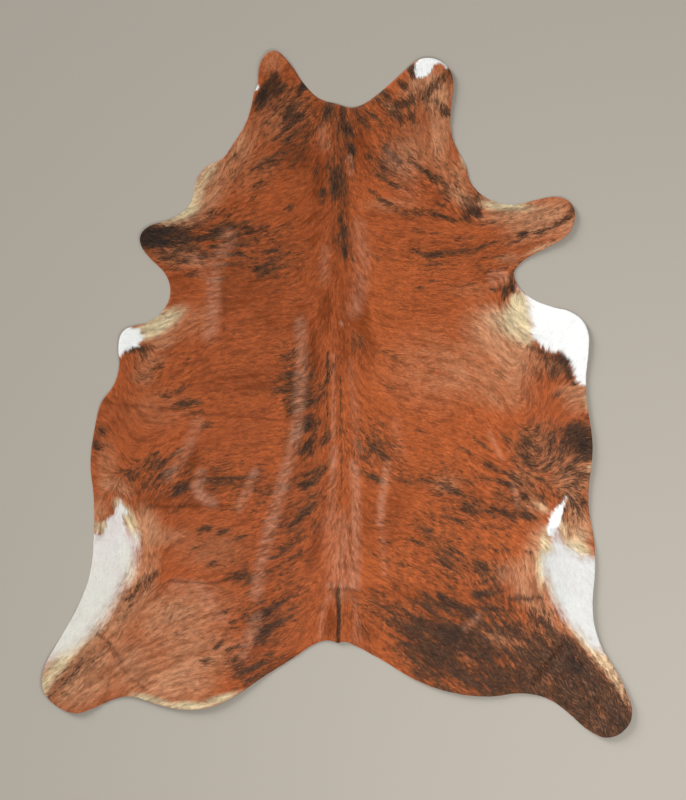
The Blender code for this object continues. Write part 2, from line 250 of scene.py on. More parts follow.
WASHES = {
    "tan": (
        (-420, 690, 150, 80, 70, 90), (-500, 590, 120, 50, 30, 90), (-330, 815, 150, 70, 60, 65),
        (-215, 1100, 80, 60, 90, 35), (-600, 215, 120, 50, 20, 90), (-575, 175, 70, 40, 20, 60),
        (-500, 450, 140, 60, 0, 35), (-560, 490, 120, 60, 0, 40), (-480, 640, 130, 90, 50, 60),
        (-770, -230, 110, 60, 90, 40), (-765, -300, 50, 50, 0, 60), (-790, -400, 100, 50, 90, 60),
        (-590, -50, 180, 100, 0, 20), (-715, -315, 70, 45, -30, 60), (-190, 930, 160, 110, 40, 35),
        (-280, 740, 140, 90, 40, 25), (-480, 240, 120, 80, 30, 35), (-620, 120, 80, 60, 0, 40),
        (-420, -520, 180, 110, 0, 25), (-460, -700, 200, 110, 0, 40), (-575, -475, 110, 50, 0, 50),
        (-645, 60, 60, 50, 0, 50),
        (-640, -440, 110, 80, -60, 85), (-640, -580, 140, 70, 80, 65), (-740, -740, 220, 90, 45, 85),
        (-560, -760, 200, 150, 0, 70), (-460, -870, 200, 130, 10, 70), (-580, -980, 240, 100, 0, 60),
        (-850, -920, 240, 170, 45, 90), (-677, -887, 120, 100, 0, 75), (-860, -990, 110, 70, 20, 62),
        (-540, -960, 180, 90, 0, 60),
        (350, 880, 220, 60, 88, 55), (340, 1000, 100, 60, 70, 75), (285, 1030, 80, 50, 30, 75),
        (250, 780, 160, 100, 20, 35), (405, 690, 130, 80, -50, 50), (590, 605, 180, 60, 8, 90),
        (680, 580, 190, 100, 22, 90), (700, 490, 170, 34, 28, 55), (775, 560, 60, 34, 55, 50),
        (520, 210, 150, 120, -30, 85), (590, 110, 120, 100, -40, 75), (450, 80, 170, 130, 0, 35),
        (560, 0, 140, 90, 0, 45), (320, 80, 240, 200, 0, 30), (780, 10, 80, 40, 0, 45),
        (800, -455, 110, 80, 90, 120), (786, -370, 90, 50, 90, 70), (660, -520, 130, 60, 75, 75),
        (610, -600, 130, 80, -10, 55), (530, -815, 100, 45, -10, 60), (420, -870, 60, 30, -35, 40),
        (700, -660, 110, 40, -55, 60), (950, -990, 120, 30, -62, 80), (800, -970, 360, 190, -48, 70),
        (560, -820, 180, 80, -10, 15), (630, 165, 70, 45, -20, 80), (570, 450, 60, 30, 10, 50),
        (450, 345, 120, 40, 0, 25),
        (670, -200, 140, 120, 90, 40), (790, -270, 130, 110, 90, 80), (660, -370, 80, 50, -30, 70),
        (620, -300, 90, 70, -30, 40), (800, -10, 70, 80, 0, 75), (900, -1060, 200, 150, -48, 60),
        (690, -920, 170, 120, -30, 35), (700, -740, 170, 50, -55, 62), (650, -680, 90, 70, -55, 65),
        (290, 1020, 130, 90, 30, 70), (270, 850, 180, 140, 60, 25), (180, 630, 140, 40, 0, 30),
        (425, 650, 70, 45, -40, 60), (185, 955, 60, 34, -40, 50), (410, 740, 80, 30, -70, 40),
        (365, -300, 70, 50, 0, 55), (700, 110, 100, 60, -30, 50),
    ),
    "cream": (
        (-590, 235, 130, 44, 32, 110), (-640, 208, 70, 36, 10, 75), (-478, 655, 115, 44, 72, 70),
        (-528, 594, 110, 30, 28, 90), (-430, 735, 80, 32, 55, 60), (560, 628, 130, 30, -4, 95),
        (500, 645, 50, 20, -30, 30), (672, 484, 80, 10, 24, 30), (418, 790, 60, 14, 100, 60),
        (605, 262, 105, 72, 80, 125), (630, 205, 60, 45, 90, 100), (560, 235, 110, 60, -40, 50),
        (695, -490, 70, 30, 90, 80), (682, -570, 110, 30, 88, 80), (722, -670, 90, 18, -60, 50),
        (812, -806, 110, 28, -50, 70), (868, -872, 80, 38, -54, 52), (905, -935, 70, 18, -56, 35),
        (918, -930, 100, 26, -62, 48), (950, -990, 90, 22, -66, 35), (805, -478, 60, 45, 0, 30),
        (828, -20, 60, 10, 96, 50), (708, -530, 50, 28, 60, 110), (680, -376, 45, 16, -35, 40),
        (842, -242, 30, 12, 60, 60), (752, -455, 50, 26, 90, 60), (-706, -550, 120, 40, -80, 100),
        (775, -700, 200, 36, -58, 120), (697, -545, 50, 30, 90, 45), (616, 304, 60, 36, -40, 120),
        (-600, 275, 80, 20, 50, 60),
        (-870, -700, 300, 140, 54, 160), (800, -515, 80, 40, -25, 100), (-700, -410, 90, 36, -60, 90),
        (-676, -466, 70, 22, -75, 55), (-868, -846, 110, 26, 48, 40), (-925, -900, 110, 36, 55, 85),
        (-968, -960, 70, 30, 75, 90), (-785, -445, 60, 30, 0, 85), (-735, -365, 35, 25, 90, 50),
        (-620, -1018, 100, 22, -14, 95), (-500, -1038, 120, 22, 0, 100), (-390, -1016, 110, 22, 16, 90),
    ),
    "deep": (
        (-80, 120, 140, 40, 90, 95), (-90, -20, 80, 40, 90, 60), (-490, -240, 110, 40, 80, 75),
        (-415, -290, 100, 50, 0, 50), (-230, 50, 140, 80, 0, 40), (-300, 350, 200, 120, 0, 45),
        (-180, 250, 150, 80, 0, 30), (-520, 370, 80, 60, 0, 30), (90, 260, 180, 30, 95, 60),
        (110, -400, 180, 40, 90, 35), (120, -780, 140, 80, -30, 55), (-22, -760, 90, 30, 90, 90),
        (10, 620, 340, 45, 90, 70), (-130, 790, 150, 90, -20, 70), (-50, 700, 160, 60, 90, 70),
        (80, 870, 140, 60, 90, 60), (100, 760, 100, 60, 90, 45), (400, 480, 200, 60, 0, 30),
        (480, 410, 70, 30, 0, 25), (-550, -360, 200, 40, 0, 55), (-380, -520, 160, 80, -20, 35),
        (-80, -520, 120, 40, 80, 60), (110, 150, 110, 50, 90, 50), (30, 200, 190, 60, 90, 50),
        (-350, 30, 300, 60, 0, 20), (300, 620, 200, 60, 0, 20), (-35, 280, 100, 40, 90, 85),
        (75, 310, 120, 35, 90, 75), (-130, 230, 90, 50, 90, 50), (-30, 500, 320, 220, 90, 22),
        (350, 920, 100, 70, 90, 30), (500, -890, 320, 150, -12, 100), (-750, -1030, 120, 30, 15, 50),
        (250, -675, 240, 50, -8, 45), (-230, -935, 100, 26, 35, 60), (-700, -1030, 120, 24, 0, 50),
        (240, 860, 160, 110, 60, 45), (60, 790, 60, 40, 90, 40), (330, 960, 90, 60, 90, 40),
        (270, 1060, 60, 40, 90, 40), (-30, 950, 80, 40, 0, 60), (420, -740, 140, 90, -30, 35),
        (500, 20, 70, 40, 90, 30), (190, -420, 180, 130, 0, 25), (380, -660, 160, 80, -20, 40),
        (430, -770, 80, 50, -30, 50), (-280, -600, 100, 60, 0, 35), (-80, -900, 300, 70, 6, 75),
        (-380, 420, 80, 60, 0, 30), (-280, -300, 120, 80, 0, 30),
    ),
    "brindle": (
        (-560, 500, 170, 90, 0, 50), (-440, 530, 200, 130, 0, 25), (-200, 930, 200, 130, 30, 42),
        (-120, 860, 200, 120, 30, 26), (-280, 735, 180, 90, 20, 20), (-340, 780, 90, 60, 60, 8),
        (10, 800, 300, 70, 90, 34), (10, 540, 200, 60, 90, 25), (260, 970, 160, 80, 10, 20),
        (378, 1056, 50, 40, 90, 20), (365, 1066, 50, 40, 60, 45), (130, 920, 180, 110, -30, 36),
        (320, 740, 200, 110, -30, 32), (180, 760, 140, 100, -30, 30), (460, 640, 80, 60, 60, 45),
        (300, 600, 280, 60, 0, 10), (380, 460, 280, 80, 5, 20), (650, 545, 200, 60, 22, 20),
        (-300, 500, 260, 150, 10, 32), (-200, 420, 200, 100, 10, 20), (-300, 150, 300, 200, 0, 6),
        (-600, 80, 160, 110, 30, 12), (-610, -270, 200, 110, 10, 34), (-780, -150, 120, 60, 90, 20),
        (-340, -300, 280, 130, 0, 34), (-110, -80, 300, 110, 90, 40), (-170, 80, 160, 80, 90, 28),
        (-140, -380, 220, 170, 20, 30), (-240, -560, 240, 110, 20, 28), (-220, -720, 200, 150, 25, 42),
        (-265, -890, 150, 100, 15, 40), (-550, -750, 260, 180, 0, 7), (110, -180, 220, 120, -40, 36),
        (250, -270, 280, 70, -10, 10), (480, -360, 260, 180, -25, 40), (665, -210, 170, 130, 90, 50),
        (280, -540, 340, 150, -20, 32), (490, -560, 180, 130, -30, 40), (250, -800, 340, 170, -32, 58),
        (430, -850, 340, 210, -15, 66), (600, -740, 200, 100, -20, 50), (520, -960, 400, 190, -12, 85),
        (790, -980, 360, 190, -48, 130), (920, -1080, 160, 140, -48, 110), (780, -330, 150, 90, 90, 55),
        (800, -180, 150, 100, 90, 50), (720, 90, 130, 70, -20, 30), (40, 880, 100, 50, 90, 30),
        (150, 830, 100, 70, -30, 22), (610, -310, 120, 90, -30, 35), (280, -430, 120, 70, -15, 22),
        (480, -450, 120, 80, -25, 22), (560, -920, 200, 120, -15, 40), (900, -1060, 180, 140, -48, 90),
        (400, -660, 160, 80, -15, 25), (795, -280, 110, 80, 90, 40), (720, -900, 120, 80, -30, 40),
        (700, -740, 120, 40, -55, 35), (330, -700, 120, 70, -20, 30), (820, -400, 50, 40, 90, 35),
        (-860, -920, 240, 70, 42, 32), (-690, -695, 150, 36, 48, 34),
    ),
}

# Dark marks that stand out one by one. They lie along the hair, or turned from it by some degrees.
Mark = namedtuple("Mark", "across along length width depth turn", defaults=(0,))
MARK_LENGTH = 0.72  # half length of a mark's ellipse, as a part of the length that shows
MARK_WIDTH = 0.80  # half width of it, as a part of the width that shows

DARK_MARKS = {
    "left cheek and neck": (
        (-250, 990, 110, 36, 130, 6), (-208, 1038, 70, 36, 75, 35), (-185, 1015, 60, 28, 60),
        (-112, 1026, 50, 26, 95), (-150, 990, 50, 22, 14), (-145, 918, 80, 30, 45, -16),
        (-128, 922, 45, 24, 75), (-210, 955, 60, 20, 40), (-215, 893, 50, 16, 45),
        (-172, 842, 65, 24, 75), (-245, 760, 110, 26, 62), (-150, 765, 70, 30, 45),
        (-180, 800, 60, 16, 35), (-262, 700, 70, 24, 101), (-340, 790, 40, 18, 45),
        (-345, 735, 40, 16, 10), (-60, 910, 80, 36, 60, -30), (-34, 945, 50, 24, 85),
        (-160, 622, 50, 26, 75), (-275, 655, 50, 12, 55), (-420, 610, 50, 26, 45),
    ),
    "crest of the neck": (
        (16, 925, 100, 24, 85), (36, 880, 50, 36, 125), (48, 815, 50, 26, 130), (52, 775, 70, 14, 60),
        (-6, 730, 60, 34, 90), (-6, 680, 70, 30, 90), (20, 715, 80, 14, 40), (-48, 670, 40, 24, 78),
        (-48, 640, 24, 16, 55), (12, 590, 50, 28, 75), (24, 540, 60, 26, 100), (27, 475, 60, 18, 90),
        (50, 450, 40, 12, 50), (2, 510, 60, 20, 59), (-70, 740, 60, 18, 35), (-30, 760, 40, 16, 40),
    ),
    "left foreleg and shoulder": (
        (-625, 520, 100, 70, 150), (-600, 545, 110, 36, 120), (-590, 505, 150, 30, 130),
        (-545, 530, 120, 50, 100), (-500, 520, 130, 56, 52), (-590, 475, 100, 36, 75),
        (-570, 554, 70, 36, 125), (-560, 455, 80, 30, 50), (-500, 485, 90, 22, 55),
        (-440, 530, 90, 40, 30), (-300, 905, 50, 18, 40), (-20, -222, 60, 18, 40),
        (-403, 540, 50, 36, 85), (-430, 462, 80, 24, 62), (-520, 445, 100, 18, 60, -10),
        (-410, 490, 60, 16, 50), (-475, 400, 70, 22, 60), (-398, 388, 90, 34, 45),
        (-262, 417, 110, 26, 90, -8), (-250, 395, 50, 20, 55), (-215, 476, 36, 14, 75),
        (-250, 550, 60, 18, 60), (-180, 560, 80, 16, 35), (-360, 600, 60, 20, 25),
        (-360, 562, 40, 14, 45), (-550, 420, 70, 20, 65), (-350, 320, 60, 14, 30),
        (-205, 340, 50, 18, 35),
    ),
    "left flank": (
        (-640, 152, 80, 24, 61, 60), (-690, 150, 60, 26, 80, 60), (-645, 130, 50, 34, 36),
        (-600, 86, 50, 26, 65), (-560, 160, 70, 10, 14), (-530, 10, 90, 18, 60, 20),
        (-572, -5, 40, 14, 55), (-505, -34, 110, 28, 72), (-470, -62, 70, 14, 45),
        (-435, -106, 40, 28, 50), (-785, -126, 50, 20, 75), (-800, -172, 56, 28, 90),
        (-600, -198, 30, 12, 70), (-582, -230, 50, 16, 60), (-560, -266, 80, 20, 55),
        (-625, -245, 40, 14, 18), (-690, -270, 50, 28, 60, 60), (-640, -305, 60, 40, 35),
        # the mark at (-495, -340) is painted shadow beside the left belly fold's sheen
        (-525, -312, 80, 32, 100), (-495, -340, 60, 26, 60, 70), (-370, -290, 200, 24, 85),
        (-320, -282, 90, 14, 60), (-450, -270, 40, 18, 50), (-600, -350, 70, 18, 45),
        (-520, -370, 180, 14, 40), (-480, 100, 60, 18, 30), (-490, -200, 50, 18, 35),
        (-535, -195, 50, 18, 50),
    ),
    "left of the back": (
        (-35, 40, 180, 18, 50), (-80, -20, 70, 36, 60), (-90, -100, 70, 50, 95), (-100, -180, 70, 50, 80),
        (-40, -150, 60, 28, 70), (-180, 20, 90, 34, 55), (-150, -46, 60, 20, 60), (-150, 70, 60, 16, 40),
        (-180, 130, 60, 20, 35), (-125, -120, 60, 30, 45), (-100, -300, 80, 26, 95),
        (-110, -270, 110, 24, 65), (-55, -262, 80, 30, 70), (-250, -330, 90, 50, 55),
        (-120, -412, 150, 22, 70), (-70, -440, 50, 34, 50), (-160, -440, 80, 16, 45),
        (-120, -465, 120, 16, 55), (-140, -492, 140, 20, 65), (-130, -535, 80, 18, 55),
        (-200, -538, 70, 18, 50), (-100, -560, 50, 12, 40), (-320, -480, 60, 22, 45),
        (-440, -450, 60, 28, 60), (-382, -460, 50, 22, 60), (-470, -515, 90, 22, 36, 25),
        (-415, -570, 50, 24, 60), (-325, -603, 100, 38, 105), (-240, -592, 150, 22, 60),
        (-290, -620, 50, 18, 85), (-350, -380, 80, 20, 35), (-570, -405, 50, 18, 50),
        (-530, -410, 60, 12, 35),
    ),
    "left rump and leg": (
        (-612, -606, 70, 26, 65, -30), (-600, -655, 70, 18, 40), (-690, -684, 110, 24, 34),
        (-670, -655, 50, 20, 22), (-722, -742, 70, 22, 34), (-530, -700, 40, 20, 25),
        (-350, -885, 50, 28, 24), (-325, -902, 60, 22, 24), (-436, -894, 50, 28, 65),
        (-395, -836, 60, 16, 98, 30), (-345, -845, 80, 12, 60), (-258, -742, 100, 30, 90),
        # the mark at (-240, -780) is painted shadow beside the left rump fold's sheen
        (-240, -780, 110, 50, 80, 30), (-200, -690, 100, 40, 60), (-225, -720, 80, 30, 60),
        (-195, -760, 70, 22, 50), (-275, -950, 80, 26, 26), (-280, -905, 70, 22, 45),
        (-225, -935, 80, 20, 65), (-200, -885, 70, 14, 45), (-335, -918, 50, 14, 15),
        (-370, -725, 50, 14, 60), (-345, -780, 50, 14, 45), (-340, -755, 70, 12, 50),
        (-270, -835, 70, 16, 50), (-350, -975, 50, 14, 15), (-415, -815, 40, 16, 45),
        (-870, -915, 240, 34, 37), (-912, -958, 90, 26, 50), (-800, -870, 100, 30, 25),
        (-945, -1000, 50, 18, 40), (-900, -1020, 50, 20, 15), (-770, -826, 40, 22, 65, 80),
    ),
    "right neck": (
        (248, 1080, 50, 24, 90), (222, 1030, 50, 26, 75), (374, 1064, 50, 34, 70),
        (378, 1044, 36, 20, 50), (330, 1034, 46, 34, 60), (275, 990, 50, 40, 55), (258, 1070, 56, 28, 70),
        (300, 1000, 60, 30, 75), (155, 830, 60, 26, 70), (45, 780, 60, 18, 60),
        (342, 968, 60, 24, 50, 60), (-20, 960, 60, 18, 50), (225, 970, 60, 34, 60, 30),
        (160, 998, 50, 28, 60), (134, 975, 40, 20, 45), (210, 926, 50, 26, 75), (250, 922, 50, 18, 50),
        (360, 940, 60, 36, 85, 70), (75, 915, 60, 22, 50), (110, 890, 50, 22, 40), (112, 788, 50, 26, 75),
        (145, 738, 60, 44, 82), (190, 786, 60, 28, 52), (246, 776, 26, 20, 60), (266, 760, 40, 16, 55),
        (308, 728, 80, 28, 70), (345, 715, 60, 18, 32), (195, 694, 60, 14, 65), (225, 688, 40, 12, 50),
        (120, 674, 60, 14, 60), (152, 646, 50, 14, 80), (172, 632, 34, 22, 75),
        (360, 660, 60, 28, 50, -40), (345, 632, 36, 20, 45), (395, 700, 40, 14, 40),
        (462, 608, 50, 26, 95), (480, 662, 50, 18, 45),
    ),
    "right shoulder and foreleg": (
        (315, 606, 80, 20, 70), (425, 588, 60, 22, 80), (268, 476, 60, 22, 65), (320, 464, 90, 20, 80),
        (420, 484, 40, 12, 65), (445, 468, 60, 16, 70), (335, 436, 100, 14, 50), (350, 376, 120, 10, 45),
        (280, 354, 60, 12, 45), (480, 420, 80, 22, 52), (455, 372, 70, 12, 42), (325, 535, 70, 14, 42),
        (270, 545, 60, 14, 42), (420, 520, 80, 18, 60), (160, 480, 50, 18, 45), (135, 458, 40, 20, 70),
        (205, 295, 60, 28, 42), (130, 530, 60, 20, 39), (618, 532, 50, 26, 117), (675, 538, 60, 22, 80),
        (730, 566, 60, 20, 80), (770, 588, 50, 18, 80), (784, 614, 50, 20, 55, 70),
        (555, 572, 60, 16, 18, -10), (500, 570, 70, 16, 45), (580, 588, 40, 12, 45),
        (535, 458, 70, 12, 35), (720, 512, 30, 12, 47), (660, 500, 50, 14, 40), (760, 630, 60, 20, 15),
        (720, 612, 140, 14, 32), (535, 352, 60, 22, 50, 110), (560, 336, 60, 20, 70),
        (584, 372, 50, 12, 35, 20), (555, 380, 40, 12, 40),
    ),
    "right belly and flank": (
        (612, 160, 60, 24, 40), (645, 158, 50, 30, 50), (676, 140, 50, 28, 72), (712, 120, 60, 44, 80),
        (748, 120, 50, 44, 100), (768, 110, 44, 34, 90), (730, 85, 60, 40, 60), (772, 66, 40, 20, 43),
        (618, 85, 50, 26, 39), (670, 60, 50, 28, 20), (735, -5, 60, 20, 36), (540, 70, 50, 28, 25),
        (530, -10, 70, 20, 39), (630, -165, 56, 40, 60, 60), (645, -215, 70, 50, 50),
        (618, -110, 50, 20, 42), (715, -160, 80, 26, 60), (565, -150, 50, 24, 50),
        (560, -160, 40, 12, 40), (826, -165, 86, 105, 105), (825, -195, 80, 50, 90),
        (780, -135, 70, 70, 55), (770, -195, 80, 50, 43), (760, -250, 80, 50, 60),
        (810, -275, 70, 40, 50), (815, -340, 90, 50, 50), (790, -300, 60, 50, 50),
        (672, -292, 60, 40, 52, 60), (720, -300, 60, 30, 52), (710, -255, 60, 36, 45),
        (690, -350, 60, 22, 40), (515, -242, 90, 24, 110), (570, -268, 70, 16, 75),
        (560, -296, 110, 26, 95, 12), (490, -284, 70, 10, 60, 14), (625, -340, 50, 22, 75),
        (535, -338, 40, 18, 70), (520, -388, 60, 22, 80, 10), (565, -400, 70, 28, 85),
        (635, -408, 80, 22, 75, 14), (590, -430, 50, 16, 50), (425, -375, 80, 34, 60),
        (378, -415, 70, 22, 50), (470, -362, 50, 20, 52), (410, -430, 50, 16, 35),
        (455, -330, 60, 16, 32), (480, -165, 90, 14, 45), (420, -185, 70, 20, 35), (185, 20, 60, 20, 45),
        (175, 130, 100, 28, 42), (65, 175, 70, 46, 60), (130, -180, 80, 22, 50), (85, -130, 90, 16, 45),
        (110, -230, 100, 16, 60), (130, -283, 90, 18, 65), (220, -290, 110, 16, 30),
        (300, -290, 80, 16, 42), (150, -100, 50, 16, 20), (155, -205, 60, 18, 50),
        (280, -125, 60, 12, 30), (340, -60, 50, 16, 25),
    ),
    "right loin and rump": (
        (270, -494, 60, 20, 42), (140, -486, 50, 16, 60), (120, -535, 60, 14, 60),
        (225, -565, 60, 22, 35), (355, -566, 60, 12, 60), (395, -586, 60, 14, 60),
        (370, -606, 70, 14, 50), (485, -578, 70, 36, 80, 30), (500, -512, 50, 22, 43),
        (532, -522, 40, 22, 85), (565, -512, 40, 26, 50), (645, -530, 40, 20, 50),
        (510, -616, 80, 12, 60, 90), (485, -668, 110, 28, 85, 62), (535, -650, 50, 20, 45),
        (298, -670, 60, 28, 75), (345, -676, 45, 34, 95), (385, -706, 150, 56, 95, 18),
        (432, -740, 70, 34, 80, 70), (510, -716, 150, 18, 70, 48), (325, -738, 60, 22, 72),
        (280, -770, 80, 36, 85), (350, -780, 90, 24, 110), (400, -808, 130, 70, 115, 20),
        (365, -830, 80, 36, 100), (255, -802, 70, 30, 85), (380, -860, 50, 22, 90),
        (332, -884, 40, 20, 110), (290, -860, 70, 22, 75), (280, -935, 60, 34, 80),
        (230, -860, 70, 14, 55), (210, -740, 90, 16, 45), (190, -775, 110, 16, 50),
        (500, -870, 80, 40, 120, 30), (460, -860, 50, 24, 62), (550, -884, 50, 22, 60),
        (400, -930, 80, 20, 25), (340, -930, 60, 20, 55), (450, -960, 90, 22, 70),
        (545, -970, 120, 50, 100, 30), (600, -935, 140, 40, 90, 30), (422, -778, 60, 30, 80, 40),
        (940, -1112, 70, 50, 100), (722, -726, 70, 20, 32, 70), (550, -575, 80, 30, 45),
        (505, -455, 70, 24, 45), (-235, -690, 60, 24, 50), (-920, -1010, 60, 26, 30),
        (362, -682, 60, 24, 70), (572, -962, 90, 30, 70, 20), (682, -905, 100, 36, 70, 20),
        (580, -780, 90, 50, 50, 30), (470, -785, 50, 22, 40), (610, -682, 150, 18, 85, 78),
        (680, -680, 50, 18, 60, 70), (575, -716, 70, 34, 55, 50),
    ),
    "right hind leg": (
        (700, -775, 140, 26, 90, 24), (660, -745, 60, 26, 50, 40), (770, -835, 80, 40, 100),
        (690, -840, 90, 30, 25), (800, -915, 180, 80, 120), (770, -880, 120, 60, 95),
        (865, -985, 110, 50, 105), (925, -1060, 100, 70, 116), (900, -1100, 80, 50, 85),
        (840, -1080, 100, 40, 70), (680, -925, 80, 36, 100), (740, -940, 100, 50, 85),
        (780, -1010, 100, 60, 80), (730, -980, 70, 36, 62), (950, -1100, 60, 40, 100),
        (640, -870, 80, 30, 29), (830, -1020, 120, 50, 72), (800, -470, 90, 60, 22),
    ),
}

# Long lines on the coat, from point to point, fading at their ends
Line = namedtuple("Line", "width amount points")

DARK_LINES = {
    "left hock band": (28, 36, ((-626, -612), (-686, -668), (-728, -714), (-768, -762), (-796, -812))),
    "right cheek band": (28, 74, (
        (380, 1070), (358, 1050), (333, 1037), (300, 1010), (272, 990), (235, 974), (205, 967),
    )),
    "right neck line": (16, 65, (
        (185, 622), (235, 602), (300, 600), (350, 596), (385, 580), (430, 590), (468, 618),
    )),
    "right shoulder line": (14, 62, (
        (255, 482), (300, 466), (370, 470), (430, 470), (475, 486), (530, 508), (600, 512),
    )),
    "right foreleg stripe": (12, 60, ((600, 530), (680, 538), (735, 566), (786, 600))),
    # painted shadow along the lower rim of the right foreleg
    "right armpit shadow": (16, 75, (
        (590, 335), (578, 365), (584, 400), (612, 430), (660, 460), (700, 480),
    )),
    "right armpit line": (7, 60, ((495, 404), (540, 414), (575, 426))),
    "left shoulder line": (9, 65, ((-350, 520), (-300, 535), (-255, 548))),
    "left foreleg line": (10, 35, ((-630, 470), (-560, 450), (-470, 436))),
    "parting of the back": (6, 50, ((12, 60), (12, -120), (15, -290))),
    "left line of the back": (9, 50, ((-30, 140), (-34, 40), (-30, -60), (-44, -150))),
    "middle of the loin": (7, 35, ((10, -500), (8, -640))),
    # painted shade in the tail groove
    "tail groove": (11, 100, ((4, -650), (6, -740), (4, -832))),
    "left waist line": (16, 75, ((-440, -290), (-340, -290), (-250, -280))),
    "right belly fringe": (18, 80, (
        (640, 158), (665, 150), (700, 134), (742, 118), (760, 96), (772, 68), (790, 34),
    )),
    "right thigh line": (12, 62, ((655, -740), (705, -780), (745, -815), (775, -850))),
}

# Creases: soft troughs in the skin, with the hair in them darkened as painted shade
CREASES = {
    "left flank crease": (8, 50, (
        (-775, -20), (-740, -34), (-660, -41), (-600, -47), (-530, -52), (-470, -60), (-440, -69),
        (-380, -71), (-300, -76), (-200, -88),
    )),
    "left belly crease": (12, 55, ((-640, -378), (-520, -374), (-360, -372))),
    "left thigh crease": (7, 85, ((-560, -622), (-480, -629), (-410, -633), (-350, -614))),
    "left hock crease": (6, 100, (
        (-832, -764), (-795, -798), (-765, -828), (-740, -854), (-722, -886), (-708, -920), (-690, -944),
        (-655, -966), (-632, -992),
    )),
    "left hock side crease": (7, 60, ((-752, -925), (-762, -965), (-774, -1005))),
    "left ankle crease": (6, 50, ((-700, -935), (-698, -970), (-700, -1000))),
    "right hock crease": (7, 100, ((748, -838), (722, -864), (702, -898), (672, -930), (655, -965))),
    "right belly crease": (6, 85, ((540, 305), (548, 275), (556, 240), (570, 205))),
    "tail groove": (10, 160, ((4, -652), (6, -740), (4, -832))),
    "tail cross crease": (8, 60, ((-30, -652), (10, -650), (65, -654))),
}

# Painted sheens: where the coat turns over a fold, a paler colour is painted along it, a painted highlight
# of the lying hair
PAINTED_SHEENS = {
    "left back fold": (34, 75, (
        (-124, 240), (-116, 130), (-122, 30), (-128, -60), (-140, -150), (-168, -240), (-186, -320),
        (-212, -400), (-228, -470), (-252, -550), (-262, -620), (-270, -670),
    )),
    "left rump fold": (34, 75, ((-268, -750), (-292, -800), (-312, -860))),
    "left shoulder fold": (42, 68, (
        (-360, 525), (-386, 465), (-405, 425), (-412, 340), (-415, 250), (-424, 190),
    )),
    "left flank fold": (34, 45, ((-462, -90), (-490, -160), (-530, -230), (-562, -275))),
    "left belly fold": (30, 100, ((-452, -265), (-468, -310), (-455, -340), (-415, -362))),
    "left waist fold": (26, 62, ((-275, -260), (-300, -320), (-325, -380))),
    "left thigh fold": (34, 50, ((-540, -634), (-460, -640), (-432, -680), (-418, -720), (-380, -752))),
    "right back fold": (22, 72, ((166, -235), (158, -300), (147, -360), (145, -430))),
    "right back fold end": (18, 30, ((150, -440), (155, -520), (158, -600))),
    "right of the back": (28, 72, ((56, -230), (64, -330), (62, -460), (60, -640))),
    "left of the back": (22, 55, ((-10, -180), (-14, -300), (-22, -460))),
    "loin": (80, 55, ((12, -440), (15, -540), (15, -640))),
    "withers": (46, 38, ((70, 560), (85, 460), (80, 370), (55, 280))),
    "right of the parting": (26, 25, ((45, 100), (58, -30), (68, -190))),
    "left of the parting": (12, 48, ((-14, 130), (-10, 0), (-14, -150))),
    "left of the tail": (18, 38, ((-36, -690), (-52, -740), (-56, -810))),
    "right of the tail": (22, 40, ((60, -690), (66, -760), (68, -820))),
    "over the tail": (15, 110, ((-28, -638), (10, -636), (52, -641))),
    "under the tail crease": (18, 40, ((-10, -668), (-30, -680))),
    "right thigh": (50, 28, ((560, -600), (610, -620), (600, -660))),
    "right stifle": (20, 40, ((478, -730), (452, -760), (430, -780))),
    "right flank": (14, 45, ((508, -130), (530, -180), (548, -215))),
    "right flank end": (14, 45, ((583, -295), (598, -340), (602, -375))),
    "right armpit": (38, 100, ((525, 385), (548, 390))),
    "left of the withers": (30, 35, ((-40, 480), (-42, 380))),
    "crest of the neck": (18, 80, ((40, 790), (46, 735))),
    "left of the crest": (30, 45, ((-52, 880), (-40, 830))),
    "right neck": (60, 30, ((180, 800), (230, 740), (240, 680))),
    "right waist": (30, 20, ((195, -90), (200, -150), (212, -200))),
    "left foreleg": (34, 42, ((-480, 450), (-440, 430), (-445, 400))),
    "star of the back": (9, 120, ((12, 240), (16, 234))),
}

# The coat
COAT_FIELDS = ("dark", "tan", "cream", "deep", "painted_sheen", "white", "shade")
HAIR_BANDS = ("rump", "loin", "back", "shoulders", "neck")
ROOT_MARGIN = 0.0006  # between the outermost roots and the hide's edge
ROOT_DEPTH = 0.0002  # how deep in the skin a lock starts
SHORTEST_LOCK = 0.0015
SHORTENING = 0.72  # of a lock that reaches past the edge, each time
SHORTENINGS = 7  # times at the most
LOCK_SHOULDER = 0.36  # where along a lock it is widest
LOWEST_SIDE = 0.00005  # of a lock's sides over the skin
LOCK_SEEN = 0.6  # the part of a lock that others don't cover, which the eye takes as its place
LOCK_SHADE = np.array([-0.14, 0.0, 0.12, 0.0])  # a lock is darker at its root and paler at its tip

# The picture and the stage
PHOTO = (686, 800)  # size of the picture, in pixels
HIDE_MIDDLE = (337.05, 394.05)  # pixel at which the hide's middle shows
PIXEL = 0.003335  # size of a pixel on the floor
SENSOR = 0.036
FLOOR_REACH = 30.0
FLOOR_DROP = 0.0002  # of the floor below the hide, so that the two don't share a face
KEY_DISTANCE = 4.0
FILL_SIZE = 2.0
FILL_PLACE = (1.3, -1.5, 3.0)
FILL_AIM = (0.9, -1.0, 0.0)
FILL_TINT = (1.0, 0.985, 0.965, 1.0)


# ---------------------------------------------------------------- settings


def length(name, description, default, least=0.0):
    return bpy.props.FloatProperty(
        name=name, description=description, default=default, min=least, unit="LENGTH"
    )


def angle(name, description, degrees):
    return bpy.props.FloatProperty(
        name=name, description=description, default=math.radians(degrees), subtype="ANGLE"
    )


def colour(name, description, default):
    return bpy.props.FloatVectorProperty(
        name=name, description=description, default=default, size=3, min=0.0, max=1.0, subtype="COLOR"
    )


